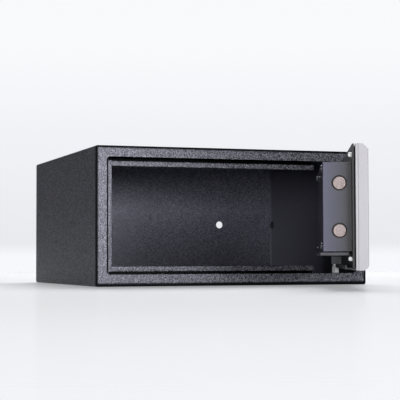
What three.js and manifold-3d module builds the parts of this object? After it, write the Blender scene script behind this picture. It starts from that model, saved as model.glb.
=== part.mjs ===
// A low, wide steel safe with a right-hinged front door, standing open.
// Millimetres. X runs to the right, Y to the back, Z up.
// The origin is the centre of the cabinet's underside.
// Door pieces are drawn where they are when the door is shut, then turned about the hinge.
import * as THREE from "three";
import { mergeVertices } from "three/addons/utils/BufferGeometryUtils.js";
import Module from "manifold-3d";

const wasm = await Module();
wasm.setup();

// Clearances and facets.
const fit = 0.3;
const cutOver = 2;
const mergeReach = 0.0001;
const roundSteps = 24;
const smallRoundSteps = 12;
const hexSides = 6;
const cornerSteps = 3;
const keyCornerSteps = 2;
const fasciaSteps = 5;
const openAngle = THREE.MathUtils.degToRad(67);

// Cabinet.
const width = 420;
const height = 200;
const depth = 400;
const wall = 2;
const wrapBend = 3;
const border = 16;
const sill = 17;
const lintel = 15.5;
const frameSheet = 2;
const frameLip = 14;
const mouthCorner = 5;
const rearRecess = 26;
const rearSheet = 2;
const rearFlange = 24;
const anchorRadius = 6;
const anchorSpacing = 222;
const anchorRise = 98.5;
const floorAnchorSetback = 60;
const cableHoleRadius = 5;
const cableHoleInset = 9;
const plugHeadRadius = 6.3;
const plugHeadHeight = 1;

// Stop rails and the keeper rail behind the mouth.
const railSheet = 2;
const railSetback = 3.8;
const railFace = 7.8;
const railWeb = 12;
const railEnd = 55;
const keeperSetback = 7.8;
const keeperFace = 6.2;
const keeperWeb = 35;
const keeperSheet = 1.5;
const keeperHoleRadius = 8.6;

// Door, from its front to its back.
const fasciaProud = 0.5;
const fasciaDepth = 12.6;
const fasciaWall = 2.5;
const fasciaChamfer = 7;
const fasciaRound = 8;
const fasciaEndRound = 1.5;
const backplateSheet = 3;
const gasketSheet = 1.4;
const gasketInset = 4;
const gasketBand = 8;
const doorSheet = 2;
const doorGap = 2;
const topGap = 2;
const sillGap = 7;
const plateRise = 1.5;
const hingeGapPlate = 1.5;
const hingeGapFascia = 4.5;
const plateCorner = 2;
const flangeReach = 8.9;
const flangeLip = 5;
const flangeStart = 13;
const flangeEnd = 39;
const bufferRadius = 2.9;
const bufferHeight = 4.7;
const bufferInset = 9;
const bufferTopInset = 13.5;
const bufferBottomInset = 13;
const bufferDome = 1.2;

// Hinges. The pivot stands behind the plate and inside the mouth's right edge.
const hingeSetback = 8;
const hingeInset = 21;
const pinRadius = 3;
const pinTail = 4;
const pinTop = 41.5;
const collarAcrossFlats = 10;
const collarHeight = 9.4;
const shoulderRadius = 4.3;
const shoulderHeight = 3.4;
const lugHeight = 11.4;
const lugRadius = 6;
const lugShoulder = 12;
const leafSheet = 3;
const leafReach = 24;
const leafTail = 15;
const bracketSheet = 3;
const bracketRise = 17.2;
const bracketWidth = 24;
const bracketDepth = 20.8;

// Lock cover and the plate that carries the mechanism.
const coverInset = 18;
const coverLength = 250;
const coverDepth = 36.3;
const coverHeightShare = 0.71;
const coverRise = 1;
const coverSheet = 1.5;
const coverBend = 1.5;
const boltHoleRadius = 9.5;
const chassisSheet = 2;
const chassisInset = 4;
const guideReach = 26;
const guideSheet = 2.5;
const guidePitch = 38;
const guideEdge = 12.5;
const screwInset = 13;
const screwEdge = 7;
const postRadius = 3.5;
const screwHeadRadius = 4;
const screwHeadHeight = 2.5;
const screwRadius = 1.7;
const screwLength = 9;
const screwSocketRadius = 1.4;
const screwSocketDepth = 1.2;
const batteryWindowWidth = 104;
const batteryWindowDepth = 22;
const batteryWindowInset = 12;
const trayDrop = 1.3;
const trayHeight = 3.9;
const trayOverhang = 3;
const traySheet = 1.5;
const trayInset = 2;
const trayScrewHeadHeight = 2;
const trayScrewShare = 1 / 3;
const resetRadius = 4;
const resetProud = 2.5;
const resetStem = 7;
const resetStemRadius = 2.6;
const resetInset = 47;
const resetRise = 37;
const resetTravel = 1;

// Bolt work: two round bolts, their carriage and the rack and pinion that drive it.
const boltRadius = 8.2;
const boltLength = 61.7;
const boltNose = 0.5;
const boltSetback = 15.5;
const boltSpacingShare = 0.533;
const stubRadius = 4;
const stubLength = 7;
const carriageSheet = 5;
const carriageDepth = 20;
const carriageEdge = 12;
const rackDepth = 6;
const rackHeight = 9;
const rackTeethStart = 34;
const gearModule = 1;
const gearTeeth = 16;
const rackTeeth = 12;
const pressureAngle = THREE.MathUtils.degToRad(25);
const toothTipShare = 0.9;
const toothRootShare = 1.25;
const backlash = 0.16;
const flankSteps = 5;
const pinionInset = 114;
const pinionWidth = 6;
const shaftRadius = 2;
const shaftFront = 2;
const shaftLength = 17;
const camLugWidth = 5;
const camLugHeight = 12;
const bracketFootSheet = 1.5;
const bracketSpan = 20;
const bracketGapHigh = 16.5;
const bracketGapLow = 19.5;
const bracketReach = 18.6;
const bracketFoot = 4.5;
const gearboxWidth = 36;
const gearboxHeight = 28;
const gearboxDepth = 13.4;
const gearboxBack = 16;
const motorRadius = 6.6;
const motorLength = 26;
const motorFlat = 1.2;

// Electronics behind the cover.
const boardWidth = 74;
const boardHolderGap = 11.4;
const boardSheet = 1.6;
const boardStandoff = 17;
const boardInset = 170;
const boardPostInset = 4;
const boardPostRadius = 3;
const chipWidth = 14;
const chipHeight = 4;
const socketWidth = 12;
const socketHeight = 6;
const cellRadius = 7.2;
const cellLength = 50;
const cellNubRadius = 2.7;
const cellNubLength = 1.2;
const cellPitch = 14.9;
const holderWall = 2;
const holderInset = 125;
const holderDepth = 16;

// Override lock beside the bolt work, and the cover over its keyhole.
const lockInset = 166;
const lockRise = 24;
const cableInset = 38;
const lockBodyRadius = 9.5;
const lockBodyBack = 29;
const lockFlangeRadius = 12;
const lockFlangeHeight = 2;
const lockPlugRadius = 6;
const lockPlugLength = 30.5;
const keySlotWidth = 1.8;
const keySlotHeight = 8.5;
const keySlotDepth = 20;
const tailRadius = 3;
const tailLength = 5.5;
const camHubRadius = 7;
const camReach = 17;
const camTipRadius = 3;
const camSheet = 3.5;
const camRestAngle = THREE.MathUtils.degToRad(-135);
const camLugGap = 1;
const keyholeCoverRadius = 13;
const keyholeCoverRise = 17;
const keyholeCoverEar = 6;
const keyholeCoverSheet = 2.2;
const keyholePinRadius = 1.8;

// Keypad and display, in the fascia.
const keypadInset = 77;
const keyPitchAcross = 20;
const keyPitchUp = 16;
const keyWidth = 15;
const keyHeight = 11;
const keyCorner = 2;
const keyProud = 1.5;
const keyFlange = 1;
const keyFlangeSheet = 1.5;
const keyStemRadius = 3;
const keyStemLength = 2.4;
const keyTravel = 1.2;
const keyColumns = 3;
const keyRows = 4;
const keyNames = ["clear", "0", "lock", "7", "8", "9", "4", "5", "6", "1", "2", "3"];
const keyBoardWidth = 84;
const keyBoardMargin = 4;
const keyPostRadius = 2.5;
const displayWidth = 66;
const displayHeight = 24;
const displayCorner = 3;
const displayFlange = 2;
const displayFlangeSheet = 1;
const displayGap = 18.5;
const digitBlockWidth = 52;
const digitBlockHeight = 16;
const digitBlockDepth = 3.5;

// Places worked out from the sizes above.
const halfWidth = width / 2;
const frontY = -depth / 2;
const backY = depth / 2;
const mouthLeft = -halfWidth + border;
const mouthRight = halfWidth - border;
const mouthTop = height - lintel;
const fasciaFront = frontY - fasciaProud;
const fasciaBack = fasciaFront + fasciaDepth;
const backplateFront = fasciaBack + fit;
const backplateBack = backplateFront + backplateSheet;
const gasketFront = backplateBack + fit;
const gasketBack = gasketFront + gasketSheet;
const plateFront = gasketBack + fit;
const plateBack = plateFront + doorSheet;
const onPlate = plateBack + fit;
const pivotX = mouthRight - hingeInset;
const pivotY = plateBack + hingeSetback;
const doorLeft = mouthLeft + doorGap;
const plateRight = mouthRight - hingeGapPlate;
const fasciaRight = mouthRight - hingeGapFascia;
const fasciaBottom = sill + sillGap;
const plateBottom = fasciaBottom + plateRise;
const doorTop = mouthTop - topGap;
const doorMiddle = (fasciaBottom + doorTop) / 2;
const keeperFront = onPlate + bufferHeight + fit;
const railFront = plateBack + flangeReach + fit;
const keeperLeft = mouthLeft + keeperSetback;
const keeperRight = keeperLeft + keeperFace;
const railBottom = sill + railSetback;
const railTop = mouthTop - railSetback;
const coverLeft = doorLeft + coverInset;
const coverRight = coverLeft + coverLength;
const coverMiddle = doorMiddle + coverRise;
const coverHeight = coverHeightShare * (doorTop - fasciaBottom);
const coverBottom = coverMiddle - coverHeight / 2;
const coverTop = coverMiddle + coverHeight / 2;
const coverBack = onPlate + coverDepth;
const coverMiddleY = (onPlate + coverBack) / 2;
const trayScrewX = coverLeft + trayScrewShare * coverLength;
const chassisFront = onPlate;
const chassisBack = chassisFront + chassisSheet;
const chassisLeft = coverLeft + chassisInset;
const chassisRight = coverRight - chassisInset;
const boltY = plateBack + boltSetback;
const boltSpacing = boltSpacingShare * coverHeight;
const boltHeights = [coverMiddle - boltSpacing / 2, coverMiddle + boltSpacing / 2];
const carriageLeft = coverLeft + boltLength + fit;
const pitchRadius = (gearModule * gearTeeth) / 2;
const pinionX = coverLeft + pinionInset;
const pinionZ = coverMiddle + pitchRadius;
const rackFront = boltY - rackDepth / 2;
const lockX = doorLeft + lockInset;
const lockZ = coverMiddle + lockRise;
const cableX = lockX + cableInset;
const camLugLeft = lockX + camReach * Math.cos(-Math.PI - camRestAngle) + camTipRadius + camLugGap;
const camLugRight = camLugLeft + camLugWidth;
const holderBottom = coverBottom + coverSheet + fit;
const holderHeight = cellPitch + 2 * cellRadius + 2 * holderWall;
const boardTop = coverTop - screwEdge * 2;
const boardBottom = holderBottom + holderHeight + boardHolderGap;
const keypadX = doorLeft + keypadInset;
const keypadHeight = (keyRows - 1) * keyPitchUp + keyHeight + displayGap + displayHeight;
const keypadBottom = doorMiddle - keypadHeight / 2;
const displayBottom = keypadBottom + keypadHeight - displayHeight;
const keyBoardFront = fasciaFront + fasciaWall + fit + keyFlangeSheet + keyStemLength + keyTravel + fit;
const keyBoardBottom = keypadBottom - keyBoardMargin;
const keyBoardTop = keypadBottom + keypadHeight + keyBoardMargin;

// Materials.
const paint = (colour, roughness, metalness) =>
  new THREE.MeshStandardMaterial({ color: colour, roughness, metalness });
const texturedBlack = paint(0x2b2b30, 0.75, 0.1);
const smoothBlack = paint(0x1d1d21, 0.6, 0.1);
const coverGrey = paint(0x4a4b54, 0.4, 0.2);
const champagne = paint(0xd2d0d6, 0.45, 0.3);
const blackPlastic = paint(0x131315, 0.55, 0);
const whitePlastic = paint(0xeeeeee, 0.5, 0);
const nickel = paint(0xb8afb0, 0.3, 0.9);
const zinc = paint(0xc8cacd, 0.35, 0.9);
const blackFoam = paint(0x0d0d0e, 0.95, 0);
const boardGreen = paint(0x1f5b3a, 0.5, 0);
const smokedAcrylic = paint(0x160a0a, 0.1, 0);
const brass = paint(0xb99a57, 0.35, 0.9);
const keyGrey = paint(0x55575c, 0.6, 0);
const cellBlue = paint(0x2d4f7a, 0.4, 0.3);

// A closed geometry as a solid that can be joined and cut.
function solid(geometry) {
  const bare = geometry.index ? geometry.toNonIndexed() : geometry.clone();
  bare.deleteAttribute("normal");
  bare.deleteAttribute("uv");
  const merged = mergeVertices(bare, mergeReach);
  return new wasm.Manifold(
    new wasm.Mesh({
      numProp: 3,
      vertProperties: new Float32Array(merged.attributes.position.array),
      triVerts: new Uint32Array(merged.index.array),
    }),
  );
}

function join(...solids) {
  return solids.reduce((whole, piece) => whole.add(piece));
}

function cut(base, ...tools) {
  return tools.reduce((left, tool) => left.subtract(tool), base);
}

// One named piece of the safe.
function piece(name, made, material) {
  const found = made.getMesh();
  const geometry = new THREE.BufferGeometry();
  geometry.setAttribute("position", new THREE.BufferAttribute(found.vertProperties, 3));
  geometry.setIndex(new THREE.BufferAttribute(found.triVerts, 1));
  geometry.computeVertexNormals();
  const mesh = new THREE.Mesh(geometry, material);
  mesh.name = name;
  return mesh;
}

function block(x0, x1, y0, y1, z0, z1) {
  const geometry = new THREE.BoxGeometry(x1 - x0, y1 - y0, z1 - z0);
  geometry.translate((x0 + x1) / 2, (y0 + y1) / 2, (z0 + z1) / 2);
  return solid(geometry);
}

// An outline of X and Y, drawn up along Z.
function upward(outline, z0, z1) {
  const geometry = new THREE.ExtrudeGeometry(outline, {
    depth: z1 - z0,
    bevelEnabled: false,
    curveSegments: cornerSteps,
  });
  geometry.translate(0, 0, z0);
  return solid(geometry);
}

// An outline of X and Z, drawn back along Y.
function backward(outline, y0, y1, steps = cornerSteps) {
  const geometry = new THREE.ExtrudeGeometry(outline, {
    depth: y1 - y0,
    bevelEnabled: false,
    curveSegments: steps,
  });
  geometry.applyMatrix4(
    new THREE.Matrix4().makeBasis(
      new THREE.Vector3(1, 0, 0),
      new THREE.Vector3(0, 0, 1),
      new THREE.Vector3(0, -1, 0),
    ),
  );
  geometry.translate(0, y1, 0);
  return solid(geometry);
}

// An outline of Y and Z, drawn to the right along X.
function rightward(outline, x0, x1, steps = cornerSteps) {
  const geometry = new THREE.ExtrudeGeometry(outline, {
    depth: x1 - x0,
    bevelEnabled: false,
    curveSegments: steps,
  });
  geometry.applyMatrix4(
    new THREE.Matrix4().makeBasis(
      new THREE.Vector3(0, 1, 0),
      new THREE.Vector3(0, 0, 1),
      new THREE.Vector3(1, 0, 0),
    ),
  );
  geometry.translate(x0, 0, 0);
  return solid(geometry);
}

// A turned piece: radius and distance pairs, revolved about its axis through a place.
const alongX = new THREE.Matrix4().makeRotationZ(-Math.PI / 2);
const alongY = new THREE.Matrix4();
const alongZ = new THREE.Matrix4().makeRotationX(Math.PI / 2);

function turned(profile, along, place, steps = roundSteps) {
  const points = profile.map(([radius, distance]) => new THREE.Vector2(radius, distance));
  const geometry = new THREE.LatheGeometry(points, steps);
  geometry.applyMatrix4(along);
  geometry.translate(...place);
  return solid(geometry);
}

function rod(radius, length, along, place, steps = roundSteps) {
  return turned([[0, 0], [radius, 0], [radius, length], [0, length]], along, place, steps);
}

function outlineOf(points) {
  return new THREE.Shape(points.map(([a, b]) => new THREE.Vector2(a, b)));
}

function roundedBox(a0, b0, a1, b1, radius) {
  const outline = new THREE.Shape();
  outline.moveTo(a0 + radius, b0);
  outline.lineTo(a1 - radius, b0);
  outline.absarc(a1 - radius, b0 + radius, radius, -Math.PI / 2, 0);
  outline.lineTo(a1, b1 - radius);
  outline.absarc(a1 - radius, b1 - radius, radius, 0, Math.PI / 2);
  outline.lineTo(a0 + radius, b1);
  outline.absarc(a0 + radius, b1 - radius, radius, Math.PI / 2, Math.PI);
  outline.lineTo(a0, b0 + radius);
  outline.absarc(a0 + radius, b0 + radius, radius, Math.PI, (3 * Math.PI) / 2);
  outline.closePath();
  return outline;
}

// The same piece, turned over about the cabinet's half height for the upper hinge.
function turnedOver(made) {
  return made.translate([0, -pivotY, -height / 2]).rotate([180, 0, 0]).translate([0, pivotY, height / 2]);
}

// Cabinet pieces.

function cabinetWrap() {
  const outer = roundedBox(-halfWidth, 0, halfWidth, height, wrapBend);
  const innerBend = wrapBend - wall;
  const hollow = roundedBox(-halfWidth + wall, wall, halfWidth - wall, height - wall, innerBend);
  const shell = cut(
    backward(outer, frontY, backY),
    backward(hollow, frontY - cutOver, backY + cutOver),
  );
  const floorHoles = [-anchorSpacing / 2, anchorSpacing / 2].map((x) =>
    rod(anchorRadius, wall + 2 * cutOver, alongZ, [x, floorAnchorSetback, -cutOver]),
  );
  const cableHole = rod(cableHoleRadius, wall + 2 * cutOver, alongX, [
    halfWidth - wall - cutOver,
    backY - rearRecess - rearSheet - cableHoleInset,
    anchorRise,
  ]);
  return piece("cabinet_wrap", cut(shell, ...floorHoles, cableHole), texturedBlack);
}

// The front frame is a shallow pan: its face has the mouth, and its lips run back in the wrap.
function frontFrame() {
  const left = -halfWidth + wall + fit;
  const bottom = wall + fit;
  const bend = Math.max(wrapBend - wall, fit);
  const face = roundedBox(left, bottom, -left, height - bottom, bend);
  const inside = roundedBox(
    left + frameSheet,
    bottom + frameSheet,
    -left - frameSheet,
    height - bottom - frameSheet,
    bend,
  );
  const mouth = roundedBox(mouthLeft, sill, mouthRight, mouthTop, mouthCorner);
  const pan = cut(
    backward(face, frontY, frontY + frameSheet + frameLip),
    backward(inside, frontY + frameSheet, frontY + frameSheet + frameLip + cutOver),
    backward(mouth, frontY - cutOver, frontY + frameSheet + cutOver),
  );
  return piece("front_frame", pan, texturedBlack);
}

// The rear panel stands in from the back edge, on a flange that runs back along the wrap.
function rearPanel() {
  const left = -halfWidth + wall + fit;
  const bottom = wall + fit;
  const bend = Math.max(wrapBend - wall, fit);
  const front = backY - rearRecess - rearSheet;
  const face = roundedBox(left, bottom, -left, height - bottom, bend);
  const inside = roundedBox(
    left + rearSheet,
    bottom + rearSheet,
    -left - rearSheet,
    height - bottom - rearSheet,
    bend,
  );
  const holes = [-anchorSpacing / 2, anchorSpacing / 2].map((x) =>
    rod(anchorRadius, rearSheet + 2 * cutOver, alongY, [x, front - cutOver, anchorRise]),
  );
  const pan = cut(
    backward(face, front, front + rearSheet + rearFlange),
    backward(inside, front + rearSheet, front + rearSheet + rearFlange + cutOver),
    ...holes,
  );
  return piece("rear_panel", pan, texturedBlack);
}

function cableHolePlug() {
  const stem = cableHoleRadius - fit;
  const plug = turned(
    [
      [0, 0],
      [plugHeadRadius, 0],
      [plugHeadRadius, plugHeadHeight],
      [stem, plugHeadHeight],
      [stem, plugHeadHeight + fit + wall],
      [0, plugHeadHeight + fit + wall],
    ],
    alongX,
    [
      halfWidth - wall - fit - plugHeadHeight,
      backY - rearRecess - rearSheet - cableHoleInset,
      anchorRise,
    ],
    roundSteps,
  );
  return piece("cable_hole_plug", plug, blackPlastic);
}

// A stop rail is a Z in section: a face to the front, a web running back, a flange out to the wall.
function stopRail(name, outer, wallSide, towardWall) {
  const inner = outer - towardWall * railFace;
  const web = outer - towardWall * railSheet;
  const profile = outlineOf([
    [railFront, inner],
    [railFront + railSheet, inner],
    [railFront + railSheet, web],
    [railFront + railWeb, web],
    [railFront + railWeb, wallSide],
    [railFront + railWeb - railSheet, wallSide],
    [railFront + railWeb - railSheet, outer],
    [railFront, outer],
  ]);
  return piece(name, rightward(profile, keeperRight + fit, mouthRight - railEnd), texturedBlack);
}

// The left rail is the keeper: the bolts go through two round holes in its web.
function keeperRail() {
  const wallSide = -halfWidth + wall;
  const web = keeperRight - keeperSheet;
  const webBack = keeperFront + keeperWeb;
  const profile = outlineOf([
    [keeperLeft, keeperFront],
    [keeperRight, keeperFront],
    [keeperRight, webBack],
    [wallSide, webBack],
    [wallSide, webBack - keeperSheet],
    [web, webBack - keeperSheet],
    [web, keeperFront + keeperSheet],
    [keeperLeft, keeperFront + keeperSheet],
  ]);
  const holes = boltHeights.map((z) =>
    rod(keeperHoleRadius, keeperSheet + 2 * cutOver, alongX, [web - cutOver, boltY, z]),
  );
  return piece("keeper_rail", cut(upward(profile, railBottom, railTop), ...holes), texturedBlack);
}

// Body side of a hinge: a folded bridge on the floor, with a hole for the pin.
function hingeBracket(name, upper) {
  const left = pivotX - bracketWidth / 2;
  const right = pivotX + bracketWidth / 2;
  const profile = outlineOf([
    [left, wall],
    [left + bracketSheet, wall],
    [left + bracketSheet, bracketRise - bracketSheet],
    [right - bracketSheet, bracketRise - bracketSheet],
    [right - bracketSheet, wall],
    [right, wall],
    [right, bracketRise],
    [left, bracketRise],
  ]);
  const bridge = backward(profile, pivotY - bracketDepth / 2, pivotY + bracketDepth / 2);
  const hole = rod(pinRadius + fit, bracketSheet + 2 * cutOver, alongZ, [
    pivotX,
    pivotY,
    bracketRise - bracketSheet - cutOver,
  ]);
  const bracket = cut(bridge, hole);
  return piece(name, upper ? turnedOver(bracket) : bracket, smoothBlack);
}

// A hinge pin with a hexagon collar that sits on the bridge and a shoulder under the lug.
function hingePin(name, upper) {
  const collarBottom = bracketRise + fit;
  const collarTop = collarBottom + collarHeight;
  const tailBottom = bracketRise - bracketSheet - pinTail;
  const across = collarAcrossFlats / 2 / Math.cos(Math.PI / hexSides);
  const corners = Array.from({ length: hexSides }, (_, i) => [
    pivotX + across * Math.cos((2 * Math.PI * i) / hexSides),
    pivotY + across * Math.sin((2 * Math.PI * i) / hexSides),
  ]);
  const pin = join(
    rod(pinRadius, pinTop - tailBottom, alongZ, [pivotX, pivotY, tailBottom]),
    rod(shoulderRadius, shoulderHeight, alongZ, [pivotX, pivotY, collarTop]),
    upward(outlineOf(corners), collarBottom, collarTop),
  );
  return piece(name, upper ? turnedOver(pin) : pin, zinc);
}

// Door pieces, drawn with the door shut.

// Door side of a hinge: a foot on the plate and a lug round the pin.
function hingeLeaf(name, upper) {
  const bottom = bracketRise + fit + collarHeight + shoulderHeight + fit;
  const footBack = onPlate + leafSheet;
  const footLeft = pivotX - leafReach;
  const outline = new THREE.Shape();
  outline.moveTo(footLeft, onPlate);
  outline.lineTo(pivotX + leafTail, onPlate);
  outline.lineTo(pivotX + leafTail, footBack);
  outline.lineTo(pivotX + lugRadius, footBack);
  outline.lineTo(pivotX + lugRadius, pivotY);
  outline.absarc(pivotX, pivotY, lugRadius, 0, Math.PI / 2);
  outline.lineTo(pivotX - lugShoulder, footBack);
  outline.lineTo(footLeft, footBack);
  outline.closePath();
  const z0 = upper ? height - bottom - lugHeight : bottom;
  const bore = rod(pinRadius + fit, lugHeight + 2 * cutOver, alongZ, [
    pivotX,
    pivotY,
    z0 - cutOver,
  ]);
  return piece(name, cut(upward(outline, z0, z0 + lugHeight), bore), coverGrey);
}

function doorPlate() {
  const outline = roundedBox(doorLeft, plateBottom, plateRight, doorTop, plateCorner);
  const flangeBack = plateBack + flangeReach;
  const flange = outlineOf([
    [plateBack - doorSheet, plateBottom],
    [flangeBack, plateBottom],
    [flangeBack, plateBottom + flangeLip],
    [flangeBack - doorSheet, plateBottom + flangeLip],
    [flangeBack - doorSheet, plateBottom + doorSheet],
    [plateBack - doorSheet, plateBottom + doorSheet],
  ]);
  const lockHole = rod(lockBodyRadius + fit, doorSheet + 2 * cutOver, alongY, [
    lockX,
    plateFront - cutOver,
    lockZ,
  ]);
  const cableHole = rod(cableHoleRadius, doorSheet + 2 * cutOver, alongY, [
    cableX,
    plateFront - cutOver,
    coverMiddle,
  ]);
  const plate = join(
    backward(outline, plateFront, plateBack),
    rightward(flange, doorLeft + flangeStart, plateRight - flangeEnd),
  );
  return piece("door_plate", cut(plate, lockHole, cableHole), smoothBlack);
}

// The fascia's section: chamfered along the top, rounded along the bottom.
function fasciaSection(inset) {
  const front = fasciaFront + inset;
  const bottom = fasciaBottom + inset;
  const top = doorTop - inset;
  const back = fasciaBack + (inset ? cutOver : 0);
  const soft = Math.max(fasciaRound - inset, fit);
  const slope = fasciaChamfer - inset * (2 - Math.SQRT2);
  const outline = new THREE.Shape();
  outline.moveTo(front, bottom + soft);
  outline.absarc(front + soft, bottom + soft, soft, Math.PI, (3 * Math.PI) / 2);
  outline.lineTo(back, bottom);
  outline.lineTo(back, top);
  outline.lineTo(front + slope, top);
  outline.lineTo(front, top - slope);
  outline.closePath();
  return outline;
}

function keyPlaces() {
  const places = [];
  for (let row = 0; row < keyRows; row++) {
    for (let column = 0; column < keyColumns; column++) {
      places.push({
        name: "key_" + keyNames[row * keyColumns + column],
        x: keypadX + (column - (keyColumns - 1) / 2) * keyPitchAcross,
        z: keypadBottom + keyHeight / 2 + row * keyPitchUp,
      });
    }
  }
  return places;
}

function keyOutline(x, z, grow) {
  return roundedBox(
    x - keyWidth / 2 - grow,
    z - keyHeight / 2 - grow,
    x + keyWidth / 2 + grow,
    z + keyHeight / 2 + grow,
    keyCorner,
  );
}

function displayOutline(grow) {
  return roundedBox(
    keypadX - displayWidth / 2 - grow,
    displayBottom - grow,
    keypadX + displayWidth / 2 + grow,
    displayBottom + displayHeight + grow,
    displayCorner,
  );
}

function fascia() {
  const plan = roundedBox(
    doorLeft,
    fasciaFront,
    fasciaRight,
    fasciaBack + fasciaEndRound * 2,
    fasciaEndRound,
  );
  const whole = rightward(fasciaSection(0), doorLeft, fasciaRight, fasciaSteps).intersect(
    upward(plan, fasciaBottom - cutOver, doorTop + cutOver),
  );
  const hollow = rightward(fasciaSection(fasciaWall), doorLeft + fasciaWall, fasciaRight - fasciaWall);
  const inner = fasciaFront + fasciaWall;
  const through = (outline) => backward(outline, fasciaFront - cutOver, inner + cutOver, keyCornerSteps);
  const keyHoles = keyPlaces().map(({ x, z }) => through(keyOutline(x, z, fit)));
  const posts = [-1, 1].flatMap((side) =>
    [keyBoardBottom + keyBoardMargin, keyBoardTop - keyBoardMargin].map((z) =>
      rod(
        keyPostRadius,
        keyBoardFront - fit - inner + fasciaWall / 2,
        alongY,
        [keypadX + side * (keyBoardWidth / 2 - keyBoardMargin), inner - fasciaWall / 2, z],
        smallRoundSteps,
      ),
    ),
  );
  const lockHole = rod(lockBodyRadius + fit, fasciaDepth + 2 * cutOver, alongY, [
    lockX,
    fasciaFront - cutOver,
    lockZ,
  ]);
  const pinHole = rod(
    keyholePinRadius + fit,
    fasciaDepth + 2 * cutOver,
    alongY,
    [lockX, fasciaFront - cutOver, lockZ + keyholeCoverRise],
    smallRoundSteps,
  );
  const shell = cut(whole, hollow, ...keyHoles, through(displayOutline(fit)), lockHole, pinHole);
  return piece("fascia", join(shell, ...posts), champagne);
}

function fasciaBackplate() {
  const outline = roundedBox(doorLeft, fasciaBottom, fasciaRight, doorTop, fasciaEndRound);
  const lockHole = rod(lockBodyRadius + fit, backplateSheet + 2 * cutOver, alongY, [
    lockX,
    backplateFront - cutOver,
    lockZ,
  ]);
  const cableHole = rod(cableHoleRadius, backplateSheet + 2 * cutOver, alongY, [
    cableX,
    backplateFront - cutOver,
    coverMiddle,
  ]);
  const plate = cut(backward(outline, backplateFront, backplateBack), lockHole, cableHole);
  return piece("fascia_backplate", plate, champagne);
}

function fasciaGasket() {
  const left = doorLeft + gasketInset;
  const right = fasciaRight - gasketInset;
  const bottom = plateBottom + gasketInset;
  const top = doorTop - gasketInset;
  const outer = roundedBox(left, bottom, right, top, plateCorner);
  const inner = roundedBox(
    left + gasketBand,
    bottom + gasketBand,
    right - gasketBand,
    top - gasketBand,
    plateCorner,
  );
  const ring = cut(
    backward(outer, gasketFront, gasketBack),
    backward(inner, gasketFront - cutOver, gasketBack + cutOver),
  );
  return piece("fascia_gasket", ring, blackFoam);
}

function doorBuffer(name, z) {
  const buffer = turned(
    [
      [0, 0],
      [bufferRadius, 0],
      [bufferRadius, bufferHeight - bufferDome],
      [bufferRadius - bufferDome, bufferHeight],
      [0, bufferHeight],
    ],
    alongY,
    [doorLeft + bufferInset, onPlate, z],
    smallRoundSteps,
  );
  return piece(name, buffer, whitePlastic);
}

function screwPlaces() {
  return [coverLeft + screwInset, coverRight - screwInset].flatMap((x) =>
    [coverBottom + screwEdge, coverTop - screwEdge].map((z) => [x, z]),
  );
}

// The lock cover is a folded box, open towards the door plate.
function lockCover() {
  const outer = upward(
    roundedBox(coverLeft, onPlate - coverBend * 2, coverRight, coverBack, coverBend),
    coverBottom,
    coverTop,
  ).intersect(block(coverLeft - cutOver, coverRight + cutOver, onPlate, coverBack + cutOver, 0, height));
  const hollow = block(
    coverLeft + coverSheet,
    coverRight - coverSheet,
    onPlate - cutOver,
    coverBack - coverSheet,
    coverBottom + coverSheet,
    coverTop - coverSheet,
  );
  const boltHoles = boltHeights.map((z) =>
    rod(boltHoleRadius, coverSheet + 2 * cutOver, alongX, [coverLeft - cutOver, boltY, z]),
  );
  const screwHoles = screwPlaces().map(([x, z]) =>
    rod(
      screwRadius + fit,
      coverSheet + 2 * cutOver,
      alongY,
      [x, coverBack - coverSheet - cutOver, z],
      smallRoundSteps,
    ),
  );
  const resetHole = rod(
    resetStemRadius + fit,
    coverSheet + 2 * cutOver,
    alongY,
    [coverLeft + resetInset, coverBack - coverSheet - cutOver, coverMiddle + resetRise],
    smallRoundSteps,
  );
  const windowRight = coverRight - batteryWindowInset;
  const batteryWindow = block(
    windowRight - batteryWindowWidth,
    windowRight,
    coverMiddleY - batteryWindowDepth / 2,
    coverMiddleY + batteryWindowDepth / 2,
    coverBottom - cutOver,
    coverBottom + coverSheet + cutOver,
  );
  const trayScrewHole = rod(
    screwRadius + fit,
    coverSheet + 2 * cutOver,
    alongZ,
    [trayScrewX, coverMiddleY, coverBottom - cutOver],
    smallRoundSteps,
  );
  const box = cut(outer, hollow, ...boltHoles, ...screwHoles, resetHole, batteryWindow, trayScrewHole);
  return piece("lock_cover", box, coverGrey);
}

function coverScrew(name, x, z) {
  const head = turned(
    [
      [0, 0],
      [screwRadius, 0],
      [screwRadius, screwLength],
      [screwHeadRadius, screwLength],
      [screwHeadRadius, screwLength + screwHeadHeight / 2],
      [screwHeadRadius / 2, screwLength + screwHeadHeight],
      [0, screwLength + screwHeadHeight],
    ],
    alongY,
    [x, coverBack + fit - screwLength, z],
    smallRoundSteps,
  );
  const socket = rod(
    screwSocketRadius,
    screwSocketDepth + cutOver,
    alongY,
    [x, coverBack + fit + screwHeadHeight - screwSocketDepth, z],
    hexSides,
  );
  return piece(name, cut(head, socket), zinc);
}

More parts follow.
